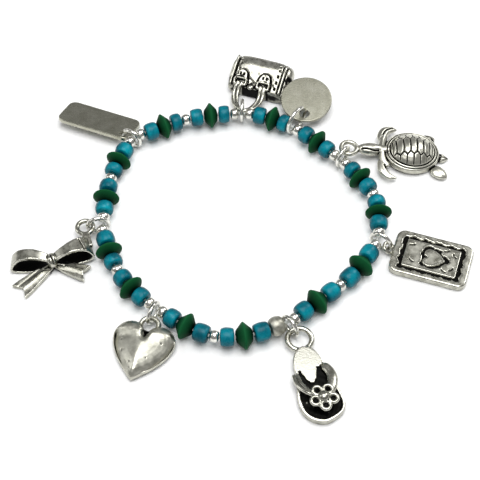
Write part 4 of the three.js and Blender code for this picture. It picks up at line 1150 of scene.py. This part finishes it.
def bow():
    ring_middle = 1.825
    lift = math.radians(9.2)
    loop_length, loop_height, ribbon, wall = 9.0, 4.4, 3.6, 0.6
    knot_x = -0.95 + loop_length * math.cos(lift)
    across, ring_height = 7.4, 1.85
    # The end of each tail from the knot, and its width
    tails = ((7.4, 5.3, 4.4), (-6.5, 3.6, 3.9))
    shape = smooth_path(np.array([[0, 0.5], [0.22, 0.84], [0.52, 1], [0.82, 0.84], [1, 0.34], [0.9, 0.07],
                                  [0.6, 0], [0.25, 0.12]]) * (loop_length, loop_height), 56, closed=True)
    middle = np.array([0.56 * loop_length, 0.46 * loop_height])
    inner = (shape - middle) * (1 - 2 * wall / loop_length, 1 - 2 * wall / loop_height) + middle

    def narrowed(share):
        """The ribbon narrows towards the knot."""
        return np.interp(share, [0, 0.2, 0.5, 1], [0.55, 0.74, 0.98, 1.0])

    pieces = []
    for angle, flare in ((-lift, 0.0), (math.pi + lift, 0.55)):
        turn = (Matrix.Translation((knot_x, across, 0)) @ Matrix.Rotation(angle, 4, "Z")
                @ Matrix.Rotation(math.pi / 2, 4, "X"))
        loop = plate("loop", shape, -ribbon / 2, ribbon / 2)
        cut(loop, plate("loop_inside", inner, -ribbon, ribbon))
        spots = spots_of(loop)
        share = spots[:, 0] / loop_length
        # The loop by the ring flares to its lug
        away = np.sign(spots[:, 2]) == (-1 if flare else 1)
        spots[:, 2] *= narrowed(share) * (1 + flare * away * step(share, 0.35, 0.95))
        # One side of the ribbon leans back towards the top, which opens the loop
        front = np.sign(spots[:, 2]) == (1 if flare else -1)
        spots[:, 2] *= 1 - 0.5 * front * step(spots[:, 1], 0.6, loop_height)
        place_vertices(loop, spots)
        loop.data.transform(turn)
        pieces.append(loop)
    pieces.append(ball("knot", (knot_x, across, loop_height / 2), (2.5, 3.4, 3.0)))
    knot_foot = [(knot_x, across, 0.4), (knot_x + 0.01, across, 2.2)]
    pieces.append(tube("knot_foot", knot_foot, 2.1, sides=14, up=(0, 1, 0)))
    for along, side, width in tails:
        length = math.hypot(along, side) + 0.7
        tail = [(0, -0.35), (0.45, -0.72), (0.8, -0.95), (1, -1), (0.86, 0), (1, 1), (0.8, 0.95),
                (0.45, 0.72), (0, 0.35)]
        piece = plate("bow_tail", [(x * length, y * width / 2) for x, y in tail], 0, 1.0)
        piece.data.transform(Matrix.Translation((knot_x, across, 0))
                             @ Matrix.Rotation(math.atan2(side, along), 4, "Z"))
        pieces.append(piece)
    loop_edge = across - ribbon / 2 - knot_x * math.tan(lift)
    pieces.append(plate("lug", [(-0.7, ring_middle), (0.7, ring_middle), (1.5, loop_edge + 0.9),
                                (-1.2, loop_edge + 0.9)], ring_height - 0.55, ring_height + 0.55))
    pieces.append(ring("bow_ring", 4.6, 1.1, (0, 0, ring_height)))
    body = cast("bow", pieces, 0.11, soft=2)

    def relief(x, y, z):
        # A ridge down each tail, a crease in the knot, and a fold by the lug
        total = 0.0
        for along, side, _ in tails:
            size = math.hypot(along, side)
            out = ((x - knot_x) * along + (y - across) * side) / size
            off = ((y - across) * along - (x - knot_x) * side) / size
            on_tail = (z < 1.3) * step(out, 1.6, 3.0) * step(1.9 - np.abs(off), 0, 0.2)
            total += on_tail * (0.12 * line(off - 0.1, 0.6) - 0.06 * line(off + 0.85, 0.3))
        crease = line(x - knot_x + 0.25 * (y - across), 0.17) * (np.abs(y - across) < 1.5) * (z > 2.2)
        fold = line(x + 0.35 * (y - loop_edge) - 1.6, 0.2) * step(loop_edge + 3.0 - y, 0, 0.6)
        return total - 0.4 * crease - 0.28 * fold * (y > loop_edge) * (z > 2.6)

    carve(body, relief)

    def inside_loops(x, y, z):
        found = np.zeros(len(x))
        for side in (-1, 1):
            out = side * (x - knot_x) * math.cos(lift) - (y - across) * math.sin(lift)
            off = (y - across) * math.cos(lift) + side * (x - knot_x) * math.sin(lift)
            depth = -outline_distance(shape, out, z)
            half = ribbon / 2 * narrowed(out / loop_length)
            front = half * (1 - 0.5 * step(z, 0.6, loop_height))
            found = np.maximum(found, step(depth, 0.3, 0.45) * step(front - off, 0.1, 0.25)
                               * (off > -half - 0.1) * (out > 0.9))
        from_knot = np.hypot((x - knot_x) / 1.6, (y - across) / 1.4)
        under = step(0.9 - z, 0, 0.4) * step(1.9 - from_knot, 0, 0.4)
        scratched = step(np.sin(9 * (y - across) + 1.2 * np.sin(1.3 * x)), 0.75, 1.0)
        return (2.2 - 1.8 * scratched) * found + 0.6 * under

    patinate_and_paint_light(body, inside_loops)
    hang_casting("bow", body, CAST_SILVER, ring_height, knot_x + loop_length, 0.95, ring_middle)


for make in (bar_tag, round_tag, handbag, turtle, card, flip_flop, heart, bow):
    make()


# Floor, light and camera

def floor_finish():
    # Matt white photographic paper with the faintest tooth
    finish = Finish("matt_white_paper")
    tone = finish.clouded(0.8, (0.2, "#F2F2F2"), (0.8, "#FAFAFA"))
    finish.feed(finish.shader, {"Base Color": tone, "Roughness": 0.9})
    return finish.material


bpy.ops.mesh.primitive_plane_add(size=1.6, location=(0, 0, 0))
floor = named("paper_floor")
floor.data.materials.append(floor_finish())


def aimed(name, data, spot, way):
    """Stands a light or the camera at a spot, looking a way."""
    thing = bpy.data.objects.new(name, data)
    bpy.context.collection.objects.link(thing)
    thing.location = spot
    thing.rotation_mode = "QUATERNION"
    thing.rotation_quaternion = way.to_track_quat("-Z", "Y")
    return thing


def softbox(name, azimuth, elevation, distance, size, power):
    """A rectangular light over the bracelet. Azimuth 0 is behind the camera's back, at -Y."""
    a, e = math.radians(azimuth), math.radians(elevation)
    spot = Vector((math.sin(a) * math.cos(e), -math.cos(a) * math.cos(e), math.sin(e))) * distance
    data = bpy.data.lights.new(name, "AREA")
    data.shape = "RECTANGLE"
    data.size, data.size_y = size
    data.energy = power
    aimed(name, data, spot, -spot)


softbox("overhead_softbox", 0, 87, 0.6, (0.42, 0.48), 3.5)
softbox("right_softbox", 128, 42, 0.7, (0.26, 0.26), 1.5)
softbox("left_softbox", -95, 30, 0.7, (0.2, 0.35), 0.6)

world = bpy.data.worlds.new("studio")
bpy.context.scene.world = world
world.use_nodes = True
background = world.node_tree.nodes["Background"]
background.inputs["Color"].default_value = linear("#9A9A9A")
background.inputs["Strength"].default_value = 0.9

AIM = Vector((-0.643, -3.282, 0)) * MM
DISTANCE = 0.275
ELEVATION = math.radians(55)
camera_data = bpy.data.cameras.new("camera")
camera_data.sensor_width = 36
camera_data.lens = 93.75
back = Vector((0, -math.cos(ELEVATION), math.sin(ELEVATION)))
camera = aimed("camera", camera_data, AIM + back * DISTANCE, -back)
camera_data.clip_start, camera_data.clip_end = 0.01, 5
bpy.context.scene.camera = camera
bpy.context.scene.view_settings.view_transform = "Standard"
